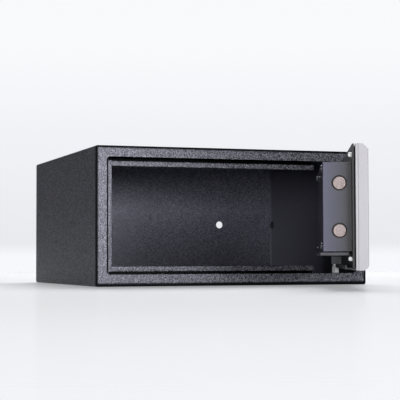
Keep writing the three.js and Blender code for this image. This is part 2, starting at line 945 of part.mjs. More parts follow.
// The chassis plate carries the bolt guides, the cover posts and the board posts.
function lockChassis() {
  const left = chassisLeft;
  const right = chassisRight;
  const bottom = coverBottom + coverSheet + fit;
  const top = coverTop - coverSheet - fit;
  const plate = block(left, right, chassisFront, chassisBack, bottom, top);
  const guides = [left, left + guidePitch].map((x) =>
    block(
      x,
      x + guideSheet,
      chassisFront + chassisSheet / 2,
      chassisBack + guideReach,
      boltHeights[0] - guideEdge,
      boltHeights[1] + guideEdge,
    ),
  );
  const boltHoles = boltHeights.map((z) =>
    rod(boltRadius + fit, guidePitch + guideSheet + 2 * cutOver, alongX, [left - cutOver, boltY, z]),
  );
  const coverPosts = screwPlaces().map(([x, z]) =>
    cut(
      rod(
        postRadius,
        coverBack - coverSheet - fit - chassisBack + chassisSheet / 2,
        alongY,
        [x, chassisBack - chassisSheet / 2, z],
        smallRoundSteps,
      ),
      rod(
        screwRadius + fit,
        screwLength + cutOver,
        alongY,
        [x, coverBack - screwLength, z],
        smallRoundSteps,
      ),
    ),
  );
  const boardPosts = boardCorners().map(([x, z]) =>
    rod(
      boardPostRadius,
      boardStandoff - fit + chassisSheet / 2,
      alongY,
      [x, chassisBack - chassisSheet / 2, z],
      smallRoundSteps,
    ),
  );
  const lockHole = rod(lockBodyRadius + fit, chassisSheet + 2 * cutOver, alongY, [
    lockX,
    chassisFront - cutOver,
    lockZ,
  ]);
  const cableHole = rod(cableHoleRadius, chassisSheet + 2 * cutOver, alongY, [
    cableX,
    chassisFront - cutOver,
    coverMiddle,
  ]);
  const base = cut(join(plate, ...guides), ...boltHoles, lockHole, cableHole);
  return piece("lock_chassis", join(base, ...coverPosts, ...boardPosts), smoothBlack);
}

// Shallow tray under the lock cover, over the cells.
function batteryCover() {
  const top = coverBottom - trayDrop;
  const left = coverLeft + trayInset;
  const right = coverRight - trayInset;
  const front = onPlate + trayOverhang;
  const back = coverBack + trayOverhang;
  const tray = cut(
    block(left, right, front, back, top - trayHeight, top),
    block(
      left + traySheet,
      right - traySheet,
      front + traySheet,
      back - traySheet,
      top - trayHeight - cutOver,
      top - traySheet,
    ),
    rod(
      screwRadius + fit,
      traySheet + 2 * cutOver,
      alongZ,
      [trayScrewX, coverMiddleY, top - traySheet - cutOver],
      smallRoundSteps,
    ),
  );
  return piece("battery_cover", tray, coverGrey);
}

function batteryCoverScrew() {
  const headTop = coverBottom - trayDrop - traySheet - fit;
  const screw = turned(
    [
      [0, 0],
      [screwHeadRadius, 0],
      [screwHeadRadius, trayScrewHeadHeight],
      [screwRadius, trayScrewHeadHeight],
      [screwRadius, trayScrewHeadHeight + screwLength],
      [0, trayScrewHeadHeight + screwLength],
    ],
    alongZ,
    [trayScrewX, coverMiddleY, headTop - trayScrewHeadHeight],
    smallRoundSteps,
  );
  return piece("battery_cover_screw", screw, zinc);
}

function resetButton() {
  const button = turned(
    [
      [0, 0],
      [resetStemRadius, 0],
      [resetStemRadius, resetStem],
      [resetRadius, resetStem],
      [resetRadius, resetStem + resetProud - resetTravel / 2],
      [resetRadius - resetTravel / 2, resetStem + resetProud],
      [0, resetStem + resetProud],
    ],
    alongY,
    [
      coverLeft + resetInset,
      coverBack + resetTravel + fit - resetStem,
      coverMiddle + resetRise,
    ],
    smallRoundSteps,
  );
  return piece("reset_button", button, blackPlastic);
}

// Gear teeth from the involute of the base circle.
function pinionOutline() {
  const base = pitchRadius * Math.cos(pressureAngle);
  const tip = pitchRadius + toothTipShare * gearModule;
  const root = pitchRadius - toothRootShare * gearModule;
  const involute = (angle) => Math.tan(angle) - angle;
  const halfTooth = (Math.PI * gearModule - backlash) / 4 / pitchRadius;
  const flank = Array.from({ length: flankSteps }, (_, i) => {
    const radius = base + ((tip - base) * i) / (flankSteps - 1);
    const angle = Math.acos(Math.min(base / radius, 1));
    return [radius, halfTooth + involute(pressureAngle) - involute(angle)];
  });
  const points = [];
  for (let tooth = 0; tooth < gearTeeth; tooth++) {
    const middle = (2 * Math.PI * tooth) / gearTeeth - Math.PI / 2;
    const rising = [[root, flank[0][1]], ...flank].map(([r, a]) => [r, middle - a]);
    const falling = [...flank].reverse().concat([[root, flank[0][1]]]).map(([r, a]) => [r, middle + a]);
    points.push(...rising, ...falling);
  }
  return outlineOf(
    points.map(([radius, angle]) => [
      pinionX + radius * Math.cos(angle),
      pinionZ + radius * Math.sin(angle),
    ]),
  );
}

function drivePinion() {
  const gear = backward(pinionOutline(), rackFront, rackFront + pinionWidth);
  const shaft = rod(
    shaftRadius,
    shaftLength,
    alongY,
    [pinionX, rackFront - shaftFront, pinionZ],
    smallRoundSteps,
  );
  return piece("drive_pinion", join(gear, shaft), brass);
}

// The rack's tooth gaps lie so that the pinion's lowest tooth stands in one of them.
function rackGap(x) {
  const halfGap = (Math.PI * gearModule + backlash) / 4;
  const slope = Math.tan(pressureAngle);
  const deep = toothRootShare * gearModule;
  const high = toothTipShare * gearModule + cutOver;
  return outlineOf([
    [x - halfGap + deep * slope, coverMiddle - deep],
    [x + halfGap - deep * slope, coverMiddle - deep],
    [x + halfGap + high * slope, coverMiddle + high],
    [x - halfGap - high * slope, coverMiddle + high],
  ]);
}

function boltCarriage() {
  const barRight = carriageLeft + carriageSheet;
  const rackTop = coverMiddle + toothTipShare * gearModule;
  const bar = block(
    carriageLeft,
    barRight,
    boltY - carriageDepth / 2,
    boltY + carriageDepth / 2,
    boltHeights[0] - carriageEdge,
    boltHeights[1] + carriageEdge,
  );
  const arm = block(
    carriageLeft,
    camLugRight,
    rackFront,
    rackFront + rackDepth,
    rackTop - rackHeight,
    rackTop,
  );
  const pitch = Math.PI * gearModule;
  const first = Math.ceil((barRight + rackTeethStart - pinionX) / pitch);
  const gaps = Array.from({ length: rackTeeth }, (_, i) =>
    backward(rackGap(pinionX + (first + i) * pitch), rackFront - cutOver, rackFront + rackDepth + cutOver),
  );
  const lug = block(
    camLugLeft,
    camLugRight,
    rackFront,
    rackFront + rackDepth,
    rackTop - rackHeight / 2,
    rackTop + camLugHeight,
  );
  const holes = boltHeights.map((z) =>
    rod(stubRadius + fit, carriageSheet + 2 * cutOver, alongX, [carriageLeft - cutOver, boltY, z]),
  );
  return piece("bolt_carriage", cut(join(bar, arm, lug), ...gaps, ...holes), zinc);
}

function lockingBolt(name, z) {
  const bolt = turned(
    [
      [0, 0],
      [boltRadius - boltNose, 0],
      [boltRadius, boltNose],
      [boltRadius, boltLength],
      [stubRadius, boltLength],
      [stubRadius, boltLength + stubLength],
      [0, boltLength + stubLength],
    ],
    alongX,
    [coverLeft, boltY, z],
  );
  return piece(name, bolt, nickel);
}

// A folded bridge over the rack and pinion that carries the gear motor.
function motorBracket() {
  const top = pinionZ + bracketGapHigh;
  const bottom = pinionZ - bracketGapLow;
  const feet = chassisBack + fit;
  const deck = chassisBack + bracketReach;
  const profile = outlineOf([
    [feet, bottom - bracketFoot],
    [feet + bracketFootSheet, bottom - bracketFoot],
    [feet + bracketFootSheet, bottom],
    [deck, bottom],
    [deck, top],
    [feet + bracketFootSheet, top],
    [feet + bracketFootSheet, top + bracketFoot],
    [feet, top + bracketFoot],
    [feet, top - bracketFootSheet],
    [deck - bracketFootSheet, top - bracketFootSheet],
    [deck - bracketFootSheet, bottom + bracketFootSheet],
    [feet, bottom + bracketFootSheet],
  ]);
  const bridge = rightward(profile, pinionX - bracketSpan / 2, pinionX + bracketSpan / 2);
  const hole = rod(
    shaftRadius + fit,
    bracketReach + cutOver,
    alongY,
    [pinionX, chassisBack + fit, pinionZ],
    smallRoundSteps,
  );
  return piece("motor_bracket", cut(bridge, hole), zinc);
}

function gearMotor() {
  const front = chassisBack + bracketReach + fit;
  const left = pinionX - gearboxBack;
  const box = backward(
    roundedBox(
      left,
      pinionZ - gearboxHeight / 2,
      left + gearboxWidth,
      pinionZ + gearboxHeight / 2,
      bracketFootSheet,
    ),
    front,
    front + gearboxDepth,
  );
  const can = rod(motorRadius, motorLength + bracketFootSheet, alongX, [
    left + gearboxWidth - bracketFootSheet,
    front + gearboxDepth / 2,
    pinionZ,
  ]);
  const shaftHole = rod(
    shaftRadius + fit,
    gearboxDepth,
    alongY,
    [pinionX, front - cutOver, pinionZ],
    smallRoundSteps,
  );
  const flats = [-1, 1].map((side) => {
    const edge = pinionZ + side * (motorRadius - motorFlat);
    const far = pinionZ + side * (motorRadius + cutOver);
    return block(
      left + gearboxWidth,
      left + gearboxWidth + motorLength + cutOver,
      front,
      front + gearboxDepth,
      Math.min(edge, far),
      Math.max(edge, far),
    );
  });
  return piece("gear_motor", cut(join(box, can), shaftHole, ...flats), blackPlastic);
}

function boardCorners() {
  const left = coverLeft + boardInset;
  return [left + boardPostInset, left + boardWidth - boardPostInset].flatMap((x) =>
    [boardBottom + boardPostInset, boardTop - boardPostInset].map((z) => [x, z]),
  );
}

function circuitBoard() {
  const left = coverLeft + boardInset;
  const front = chassisBack + boardStandoff;
  const back = front + boardSheet;
  const board = block(left, left + boardWidth, front, back, boardBottom, boardTop);
  const middle = left + boardWidth / 2;
  const chipBottom = (boardBottom + boardTop) / 2;
  const socketBottom = boardBottom + boardPostInset * 2;
  const chip = block(
    middle - chipWidth / 2,
    middle + chipWidth / 2,
    back - boardSheet / 2,
    back + chipHeight,
    chipBottom,
    chipBottom + chipWidth,
  );
  const socket = block(
    left + boardPostInset,
    left + boardPostInset + socketWidth,
    back - boardSheet / 2,
    back + socketHeight,
    socketBottom,
    socketBottom + socketHeight,
  );
  return piece("circuit_board", join(board, chip, socket), boardGreen);
}

// Cells lie in two rows of two, end to end.
function cellPlaces() {
  const left = coverLeft + holderInset + holderWall;
  const bottom = holderBottom + holderWall;
  const y = chassisBack + fit + holderWall + cellRadius;
  const places = [];
  for (let row = 0; row < 2; row++) {
    for (let column = 0; column < 2; column++) {
      places.push([
        left + fit + column * (cellLength + cellNubLength + fit),
        y,
        bottom + cellRadius + row * cellPitch,
      ]);
    }
  }
  return places;
}

function batteryHolder() {
  const left = coverLeft + holderInset;
  const length = 2 * (cellLength + cellNubLength + fit) + fit;
  const front = chassisBack + fit;
  const body = block(
    left,
    left + length + 2 * holderWall,
    front,
    front + holderDepth,
    holderBottom,
    holderBottom + holderHeight,
  );
  const troughs = [0, 1].map((row) => {
    const z = holderBottom + holderWall + cellRadius + row * cellPitch;
    const y = front + holderWall + cellRadius;
    return join(
      rod(cellRadius + fit, length, alongX, [left + holderWall, y, z]),
      block(
        left + holderWall,
        left + holderWall + length,
        y,
        front + holderDepth + cutOver,
        z - cellRadius - fit,
        z + cellRadius + fit,
      ),
    );
  });
  return piece("battery_holder", cut(body, ...troughs), blackPlastic);
}

function batteryCell(name, place) {
  const cell = turned(
    [
      [0, 0],
      [cellRadius, 0],
      [cellRadius, cellLength],
      [cellNubRadius, cellLength],
      [cellNubRadius, cellLength + cellNubLength],
      [0, cellLength + cellNubLength],
    ],
    alongX,
    place,
    smallRoundSteps,
  );
  return piece(name, cell, cellBlue);
}

// Override lock.

function overrideLockBody() {
  const front = fasciaFront + fit;
  const bodyLength = lockBodyBack;
  const body = turned(
    [
      [lockPlugRadius + fit, 0],
      [lockBodyRadius, 0],
      [lockBodyRadius, bodyLength],
      [lockPlugRadius + fit, bodyLength],
      [lockPlugRadius + fit, 0],
    ],
    alongY,
    [lockX, front, lockZ],
  );
  const nut = cut(
    rod(lockFlangeRadius, lockFlangeHeight, alongY, [lockX, chassisBack + fit, lockZ], hexSides),
    rod(lockPlugRadius + fit, lockFlangeHeight + 2 * cutOver, alongY, [
      lockX,
      chassisBack + fit - cutOver,
      lockZ,
    ]),
  );
  return piece("override_lock_body", join(body, nut), nickel);
}

function overridePlug() {
  const front = fasciaFront + fit;
  const plug = join(
    rod(lockPlugRadius, lockPlugLength, alongY, [lockX, front, lockZ]),
    rod(
      tailRadius,
      tailLength + fit,
      alongY,
      [lockX, front + lockPlugLength - fit, lockZ],
      smallRoundSteps,
    ),
  );
  const slot = block(
    lockX - keySlotWidth / 2,
    lockX + keySlotWidth / 2,
    front - cutOver,
    front + keySlotDepth,
    lockZ - keySlotHeight / 2,
    lockZ + keySlotHeight / 2,
  );
  return piece("override_plug", cut(plug, slot), brass);
}

// The tail cam: a hub on the plug and an arm that draws the carriage's lug back.
function overrideCam() {
  const front = fasciaFront + fit + lockPlugLength + fit;
  const back = front + camSheet;
  const tipX = lockX + camReach * Math.cos(camRestAngle);
  const tipZ = lockZ + camReach * Math.sin(camRestAngle);
  const across = new THREE.Vector2(-Math.sin(camRestAngle), Math.cos(camRestAngle));
  const side = (x, z, amount) => [x + across.x * amount, z + across.y * amount];
  const arm = outlineOf([
    side(lockX, lockZ, -camTipRadius),
    side(lockX, lockZ, camTipRadius),
    side(tipX, tipZ, camTipRadius),
    side(tipX, tipZ, -camTipRadius),
  ].reverse());
  const cam = join(
    rod(camHubRadius, camSheet, alongY, [lockX, front, lockZ]),
    rod(camTipRadius, camSheet, alongY, [tipX, front, tipZ], smallRoundSteps),
    backward(arm, front, back),
  );
  const bore = rod(
    tailRadius + fit,
    camSheet + 2 * cutOver,
    alongY,
    [lockX, front - cutOver, lockZ],
    smallRoundSteps,
  );
  return piece("override_cam", cut(cam, bore), zinc);
}

function keyholeCover() {
  const back = fasciaFront - fit;
  const front = back - keyholeCoverSheet;
  const pivotZ = lockZ + keyholeCoverRise;
  const neck = block(lockX - keyholeCoverEar, lockX + keyholeCoverEar, front, back, lockZ, pivotZ);
  const cover = join(
    rod(keyholeCoverRadius, keyholeCoverSheet, alongY, [lockX, front, lockZ]),
    rod(keyholeCoverEar, keyholeCoverSheet, alongY, [lockX, front, pivotZ], smallRoundSteps),
    neck,
    rod(
      keyholePinRadius,
      keyholeCoverSheet + fit + fasciaWall,
      alongY,
      [lockX, front, pivotZ],
      smallRoundSteps,
    ),
  );
  return piece("keyhole_cover", cover, champagne);
}

// Keypad and display.

function key(name, x, z) {
  const inner = fasciaFront + fasciaWall + fit;
  const cap = join(
    backward(keyOutline(x, z, 0), fasciaFront - keyProud, inner + keyFlangeSheet / 2, keyCornerSteps),
    backward(keyOutline(x, z, keyFlange), inner, inner + keyFlangeSheet, keyCornerSteps),
    rod(
      keyStemRadius,
      keyStemLength + keyFlangeSheet / 2,
      alongY,
      [x, inner + keyFlangeSheet / 2, z],
      smallRoundSteps,
    ),
  );
  return piece(name, cap, keyGrey);
}

function keypadBoard() {
  const left = keypadX - keyBoardWidth / 2;
  const front = keyBoardFront;
  const back = front + boardSheet;
  const board = block(
    left,
    left + keyBoardWidth,
    front,
    back,
    keyBoardBottom,
    keyBoardTop,
  );
  const digitsZ = displayBottom + displayHeight / 2;
  const digits = block(
    keypadX - digitBlockWidth / 2,
    keypadX + digitBlockWidth / 2,
    front - digitBlockDepth,
    back - boardSheet / 2,
    digitsZ - digitBlockHeight / 2,
    digitsZ + digitBlockHeight / 2,
  );
  return piece("keypad_board", join(board, digits), boardGreen);
}

function displayWindow() {
  const inner = fasciaFront + fasciaWall + fit;
  const pane = join(
    backward(displayOutline(0), fasciaFront, inner + displayFlangeSheet / 2),
    backward(displayOutline(displayFlange), inner, inner + displayFlangeSheet),
  );
  return piece("display_window", pane, smokedAcrylic);
}

// Assembly.

const safe = new THREE.Group();

safe.add(
  cabinetWrap(),
  frontFrame(),
  rearPanel(),
  cableHolePlug(),
  stopRail("stop_rail_top", railTop, height - wall, 1),
  stopRail("stop_rail_bottom", railBottom, wall, -1),
  keeperRail(),
  hingeBracket("hinge_bracket_lower", false),
  hingeBracket("hinge_bracket_upper", true),
  hingePin("hinge_pin_lower", false),
  hingePin("hinge_pin_upper", true),
);

const shutDoor = new THREE.Group();
shutDoor.position.set(-pivotX, -pivotY, 0);
shutDoor.add(
  doorPlate(),
  fascia(),
  fasciaBackplate(),
  fasciaGasket(),
  doorBuffer("door_buffer_upper", doorTop - bufferTopInset),
  doorBuffer("door_buffer_lower", plateBottom + bufferBottomInset),
  hingeLeaf("hinge_leaf_lower", false),
  hingeLeaf("hinge_leaf_upper", true),
  lockCover(),
  lockChassis(),
  batteryCover(),
  batteryCoverScrew(),
  resetButton(),
  motorBracket(),
  gearMotor(),
  circuitBoard(),
  batteryHolder(),
  drivePinion(),
  boltCarriage(),
  overrideLockBody(),
  overridePlug(),
  overrideCam(),
  keyholeCover(),
  keypadBoard(),
  displayWindow(),
);
screwPlaces().forEach(([x, z], i) => shutDoor.add(coverScrew("cover_screw_" + (i + 1), x, z)));
cellPlaces().forEach((place, i) => shutDoor.add(batteryCell("battery_cell_" + (i + 1), place)));
shutDoor.add(lockingBolt("bolt_lower", boltHeights[0]), lockingBolt("bolt_upper", boltHeights[1]));
for (const { name, x, z } of keyPlaces()) {
  shutDoor.add(key(name, x, z));
}

const door = new THREE.Group();
door.position.set(pivotX, pivotY, 0);
door.rotation.z = openAngle;
door.add(shutDoor);
safe.add(door);

export default safe;
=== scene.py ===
import math

import bpy
from mathutils import Matrix, Vector


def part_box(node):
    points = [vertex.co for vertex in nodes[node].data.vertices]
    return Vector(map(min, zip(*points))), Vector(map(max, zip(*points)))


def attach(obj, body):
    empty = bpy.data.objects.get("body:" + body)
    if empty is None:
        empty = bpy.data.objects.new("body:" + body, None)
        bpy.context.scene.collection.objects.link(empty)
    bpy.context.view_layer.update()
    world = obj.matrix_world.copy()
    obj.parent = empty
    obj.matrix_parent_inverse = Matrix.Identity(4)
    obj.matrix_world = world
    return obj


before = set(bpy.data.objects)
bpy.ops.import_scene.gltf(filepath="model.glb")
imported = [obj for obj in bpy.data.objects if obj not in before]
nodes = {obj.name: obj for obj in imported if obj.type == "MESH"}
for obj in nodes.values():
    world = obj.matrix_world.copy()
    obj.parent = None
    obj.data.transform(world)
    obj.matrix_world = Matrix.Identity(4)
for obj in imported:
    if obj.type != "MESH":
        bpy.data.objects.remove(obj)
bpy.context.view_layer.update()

# A low steel safe with its right-hinged door standing open, dressed for its portrait.
# Metres, in the part's own frame: X right, Y back, Z up, origin under the cabinet's middle.
MM = 0.001

# The door's pivot and how far it stands open. Door details are placed as if it were shut.
PIVOT = Vector((0.173, -0.1726, 0.0))
OPEN = math.radians(67)
DOOR_TURN = Matrix.Translation(PIVOT) @ Matrix.Rotation(OPEN, 4, "Z") @ Matrix.Translation(-PIVOT)
INTO_DOOR = DOOR_TURN.inverted()

# The cabinet's front plane and the height of its middle.
wrap_low, wrap_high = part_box("cabinet_wrap")
FRONT = wrap_low[1]
MIDDLE = (wrap_low[2] + wrap_high[2]) / 2
# The left edge of the keeper's face, beside the front frame.
KEEPER_LEFT = -186.2 * MM
# The keys of the pad, by the labels that their nodes have.
KEYS = ["clear", "0", "lock", "7", "8", "9", "4", "5", "6", "1", "2", "3"]


def shut_box(node):
    """A door node's lowest and highest corners, in metres, with the door shut."""
    places = [INTO_DOOR @ vertex.co for vertex in nodes[node].data.vertices]
    low = Vector([min(place[i] for place in places) for i in range(3)])
    high = Vector([max(place[i] for place in places) for i in range(3)])
    return low, high


# Finishes


def ink(code):
    """An sRGB hex colour as the linear colour that shaders take."""
    parts = [int(code[i : i + 2], 16) / 255 for i in (1, 3, 5)]
    return [p / 12.92 if p <= 0.04045 else ((p + 0.055) / 1.055) ** 2.4 for p in parts] + [1]


def put(tree, kind, feeds=None, **settings):
    """One node with its settings. A feed is a socket to link from, or a plain value."""
    node = tree.nodes.new(kind)
    for name, value in settings.items():
        setattr(node, name, value)
    for name, value in (feeds or {}).items():
        socket = node.inputs[name]
        if isinstance(value, bpy.types.NodeSocket):
            tree.links.new(value, socket)
        else:
            socket.default_value = value
    return node


def finish(name, shader):
    """A material with its surface shader and the piece's own coordinates."""
    material = bpy.data.materials.new(name)
    material.use_nodes = True
    tree = material.node_tree
    tree.nodes.clear()
    surface = put(tree, "ShaderNodeBsdfPrincipled", shader)
    put(tree, "ShaderNodeOutputMaterial", {"Surface": surface.outputs["BSDF"]})
    place = put(tree, "ShaderNodeTexCoord").outputs["Object"]
    return material, tree, surface, place


def fade(tree, surface, share, colour):
    """Gives the surface another colour where share is 1, and leaves its own where share is 0."""
    base = surface.inputs["Base Color"]
    own = base.links[0].from_socket if base.is_linked else list(base.default_value)
    faded = put(
        tree, "ShaderNodeMix", {"Factor": share, "A": own, "B": colour}, data_type="RGBA"
    )
    tree.links.new(faded.outputs[2], base)


def uneven(tree, surface, pattern, smoothest, roughest, strength, depth):
    """Lets one pattern vary the surface's gloss and raise its relief."""
    gloss = put(
        tree,
        "ShaderNodeMapRange",
        {"Value": pattern, "To Min": smoothest, "To Max": roughest},
    )
    tree.links.new(gloss.outputs["Result"], surface.inputs["Roughness"])
    relief = put(
        tree, "ShaderNodeBump", {"Height": pattern, "Strength": strength, "Distance": depth}
    )
    tree.links.new(relief.outputs["Normal"], surface.inputs["Normal"])


def powder_grains(name, valley, hilltop, glossiest=0.22, dullest=0.42, mirror=1.0, glossy=1.0):
    """Textured powder coat: it cures to low hills, of which some are pale and some glitter.

    mirror is how strongly the coat mirrors, and glossy the share of the hills that are
    glossier than the dullest ones.
    """
    # Real hills are about a millimetre apart; they are drawn coarser, so that they show.
    hill = 1.4 * MM
    hill_height = 0.09 * MM
    dark_hills = 0.25
    material, tree, surface, place = finish(
        name,
        {
            "Base Color": ink(valley),
            "Specular Tint": ink("#dcdcee"),
            "Specular IOR Level": mirror,
        },
    )
    hills = put(tree, "ShaderNodeTexVoronoi", {"Vector": place, "Scale": 1 / hill}, feature="F1")
    tone = put(tree, "ShaderNodeSeparateColor", {"Color": hills.outputs["Color"]})
    # Each hill has its own tone, from the dark ones up to a few that are pale.
    crest = put(
        tree,
        "ShaderNodeMapRange",
        {"Value": tone.outputs["Red"], "From Min": dark_hills, "From Max": 1.0},
        interpolation_type="SMOOTHSTEP",
    )
    fade(tree, surface, crest.outputs["Result"], ink(hilltop))
    # And each has its own gloss, which makes the glitter where a lamp is mirrored.
    sheen = put(
        tree,
        "ShaderNodeMapRange",
        {
            "Value": tone.outputs["Green"],
            "From Max": glossy,
            "To Min": glossiest,
            "To Max": dullest,
        },
    )
    tree.links.new(sheen.outputs["Result"], surface.inputs["Roughness"])
    # Distance grows away from a hill's top, so the relief counts down.
    relief = put(
        tree,
        "ShaderNodeBump",
        {"Height": hills.outputs["Distance"], "Strength": 1.0, "Distance": -hill_height},
    )
    tree.links.new(relief.outputs["Normal"], surface.inputs["Normal"])
    return material, tree, surface, place


# The tones that folds, seams and deep corners are drawn in, as they read in the portrait,
# whatever light falls there, and how faintly they mirror.
DEEP_SHADE = "#050506"
FAINT_MIRROR = 0.1


def darken(tree, surface, share):
    """Paints shade: draws the coat near black and almost without gloss where share is 1."""
    fade(tree, surface, share, ink(DEEP_SHADE))
    mirror = surface.inputs["Specular IOR Level"]
    dimmed = put(
        tree,
        "ShaderNodeMapRange",
        {"Value": share, "To Min": mirror.default_value, "To Max": FAINT_MIRROR},
    )
    tree.links.new(dimmed.outputs["Result"], mirror)


def behind_face(tree, along, node, most=1.0):
    """A share that is 0 on a node's front face and grows to the most just behind it."""
    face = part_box(node)[0][1]
    starts, full = 0.8 * MM, 1.6 * MM
    share = put(
        tree,
        "ShaderNodeMapRange",
        {
            "Value": along.outputs["Y"],
            "From Min": face + starts,
            "From Max": face + full,
            "To Max": most,
        },
    )
    return share.outputs["Result"]


def from_middle(tree, place, middle):
    """How far a point lies from the safe's long middle line: sideways as X, up or down as Z."""
    shifted = put(
        tree, "ShaderNodeVectorMath", {0: place, 1: (0, 0, middle)}, operation="SUBTRACT"
    )
    off_axis = put(
        tree, "ShaderNodeVectorMath", {0: shifted.outputs["Vector"]}, operation="ABSOLUTE"
    )
    return put(tree, "ShaderNodeSeparateXYZ", {"Vector": off_axis.outputs["Vector"]})


# The coat of the frame, the rails and the welds: its valleys and its hilltops.
COAT = ("#131317", "#74747c")


def rail_coat():
    """Powder coat on the stop rails, with painted deep shade on their folds behind the face."""
    material, tree, surface, place = powder_grains("stop_rail_powder_coat", *COAT)
    along = put(tree, "ShaderNodeSeparateXYZ", {"Vector": place})
    darken(tree, surface, behind_face(tree, along, "stop_rail_top"))
    return material


def keeper_rail_coat():
    """Powder coat on the keeper, with painted deep shade behind its face and, where the frame
    shades it, along its left edge.
    """
    material, tree, surface, place = powder_grains("keeper_powder_coat", *COAT)
    along = put(tree, "ShaderNodeSeparateXYZ", {"Vector": place})
    # How far from the edge the painted shade is full, and how far from it the painted shade ends.
    full, ended = 0.6 * MM, 1.6 * MM
    beside_frame = put(
        tree,
        "ShaderNodeMapRange",
        {
            "Value": along.outputs["X"],
            "From Min": KEEPER_LEFT + ended,
            "From Max": KEEPER_LEFT + full,
        },
    )
    share = put(
        tree,
        "ShaderNodeMath",
        {0: behind_face(tree, along, "keeper_rail"), 1: beside_frame.outputs["Result"]},
        operation="MAXIMUM",
    )
    darken(tree, surface, share.outputs["Value"])
    return material


def frame_coat():
    """Powder coat on the front frame, with a line of painted shade all round its outer edge, where
    it meets the wrap.
    """
    material, tree, surface, place = powder_grains("front_frame_powder_coat", *COAT)
    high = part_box("front_frame")[1]
    # How far inside the sides' edges the line is full, and how far inside it ends.
    full, ended = 0.2 * MM, 2.2 * MM
    # Above and below, the painted shade fades over its own width, and it is measured from a little
    # above the middle, which makes it wider at the foot.
    lift = 0.8 * MM
    width = 2.0 * MM
    reach = from_middle(tree, place, MIDDLE + lift)
    half_height = high[2] - MIDDLE
    at_sides = put(
        tree,
        "ShaderNodeMapRange",
        {
            "Value": reach.outputs["X"],
            "From Min": high[0] - ended,
            "From Max": high[0] - full,
        },
    )
    above_and_below = put(
        tree,
        "ShaderNodeMapRange",
        {
            "Value": reach.outputs["Z"],
            "From Min": half_height - lift - width,
            "From Max": half_height - lift,
        },
    )
    share = put(
        tree,
        "ShaderNodeMath",
        {0: at_sides.outputs["Result"], 1: above_and_below.outputs["Result"]},
        operation="MAXIMUM",
    )
    darken(tree, surface, share.outputs["Value"])
    return material


def rear_panel_coat():
    """Powder coat on the rear panel: drawn pale inside the safe as painted light, and darker
    behind it like the wrap.
    """
    material, tree, surface, place = powder_grains(
        "rear_panel_powder_coat", "#4e4e5a", "#7a7a88", glossiest=0.12, dullest=0.55, glossy=0.45
    )
    along = put(tree, "ShaderNodeSeparateXYZ", {"Vector": place})
    # Painted light and shade: the panel is drawn darker at its foot and paler high up; these are
    # the shares of its own tone there.
    foot, foot_tone = 20 * MM, 0.5
    height, height_tone = 130 * MM, 1.5
    rise = put(
        tree,
        "ShaderNodeMapRange",
        {
            "Value": along.outputs["Z"],
            "From Min": foot,
            "From Max": height,
            "To Min": foot_tone,
            "To Max": height_tone,
        },
    )
    base = surface.inputs["Base Color"]
    graded = put(
        tree,
        "ShaderNodeMix",
        {"Factor": 1.0, "A": base.links[0].from_socket, "B": rise.outputs["Result"]},
        data_type="RGBA",
        blend_type="MULTIPLY",
    )
    tree.links.new(graded.outputs[2], base)
    # Its outside keeps something under half of that tone.
    outside = behind_face(tree, along, "rear_panel", most=0.55)
    fade(tree, surface, outside, ink("#0c0c0e"))
    return material


def wrap_coat():
    """Powder coat on the wrap: textured outside, plain inside with painted light and shade, and
    painted shade on its front edge.
    """
    material, tree, surface, place = powder_grains(
        "wrap_powder_coat", "#121215", "#6a6a72", glossiest=0.4, dullest=0.56, mirror=0.6
    )
    # Deeper than this under the outside, the wrap's sheet shows its inner face.
    skin = 1.5 * MM
    reach = from_middle(tree, place, MIDDLE)
    beside = put(
        tree,
        "ShaderNodeMath",
        {0: reach.outputs["X"], 1: wrap_high[0] - skin},
        operation="LESS_THAN",
    )
    above = put(
        tree,
        "ShaderNodeMath",
        {0: reach.outputs["Z"], 1: wrap_high[2] - MIDDLE - skin},
        operation="LESS_THAN",
    )
    inside = put(
        tree,
        "ShaderNodeMath",
        {0: beside.outputs["Value"], 1: above.outputs["Value"]},
        operation="MINIMUM",
    )
    # Painted shade: the front edge is dark up to the first place, and the shade is gone from the
    # second.
    edge_shade_full, edge_shade_gone = FRONT + 2 * MM, FRONT + 6 * MM
    # Inside, from the mouth back: painted deep shade, a tone that grows paler as painted light,
    # and a painted highlight along the seam.
    shade_full, shade_ended = -60 * MM, -42 * MM
    highlight_starts, highlight_full = 167 * MM, 169 * MM
    panel_face = 172 * MM
    along = put(tree, "ShaderNodeSeparateXYZ", {"Vector": place}).outputs["Y"]
    rearward = put(
        tree,
        "ShaderNodeMapRange",
        {"Value": along, "From Min": shade_full, "From Max": panel_face},
    )
    plain = put(
        tree,
        "ShaderNodeMix",
        {"Factor": rearward.outputs["Result"], "A": ink("#34343f"), "B": ink("#6c6c78")},
        data_type="RGBA",
    )
    by_the_mouth = put(
        tree,
        "ShaderNodeMapRange",
        {"Value": along, "From Min": shade_ended, "From Max": shade_full},
    )
    shaded = put(
        tree,
        "ShaderNodeMix",
        {"Factor": by_the_mouth.outputs["Result"], "A": plain.outputs[2], "B": ink(DEEP_SHADE)},
        data_type="RGBA",
    )
    seam_highlight = put(
        tree,
        "ShaderNodeMapRange",
        {"Value": along, "From Min": highlight_starts, "From Max": highlight_full},
    )
    inner_tone = put(
        tree,
        "ShaderNodeMix",
        {"Factor": seam_highlight.outputs["Result"], "A": shaded.outputs[2], "B": ink("#9a9aa6")},
        data_type="RGBA",
    )
    fade(tree, surface, inside.outputs["Value"], inner_tone.outputs[2])
    edge_shade = put(
        tree,
        "ShaderNodeMapRange",
        {"Value": along, "From Min": edge_shade_gone, "From Max": edge_shade_full},
    )
    darken(tree, surface, edge_shade.outputs["Result"])
    return material


def satin_parts(name, low, high, roughness, ripple, depth):
    """Sprayed and baked paint on sheet steel: an even colour with a slight orange-peel ripple."""
    material, tree, surface, place = finish(name, {"Base Color": ink(low)})
    peel = put(tree, "ShaderNodeTexNoise", {"Vector": place, "Scale": 1 / ripple, "Detail": 3.0})
    fade(tree, surface, peel.outputs["Fac"], ink(high))
    uneven(tree, surface, peel.outputs["Fac"], roughness - 0.06, roughness + 0.06, 0.5, depth)
    return material, tree, surface, place


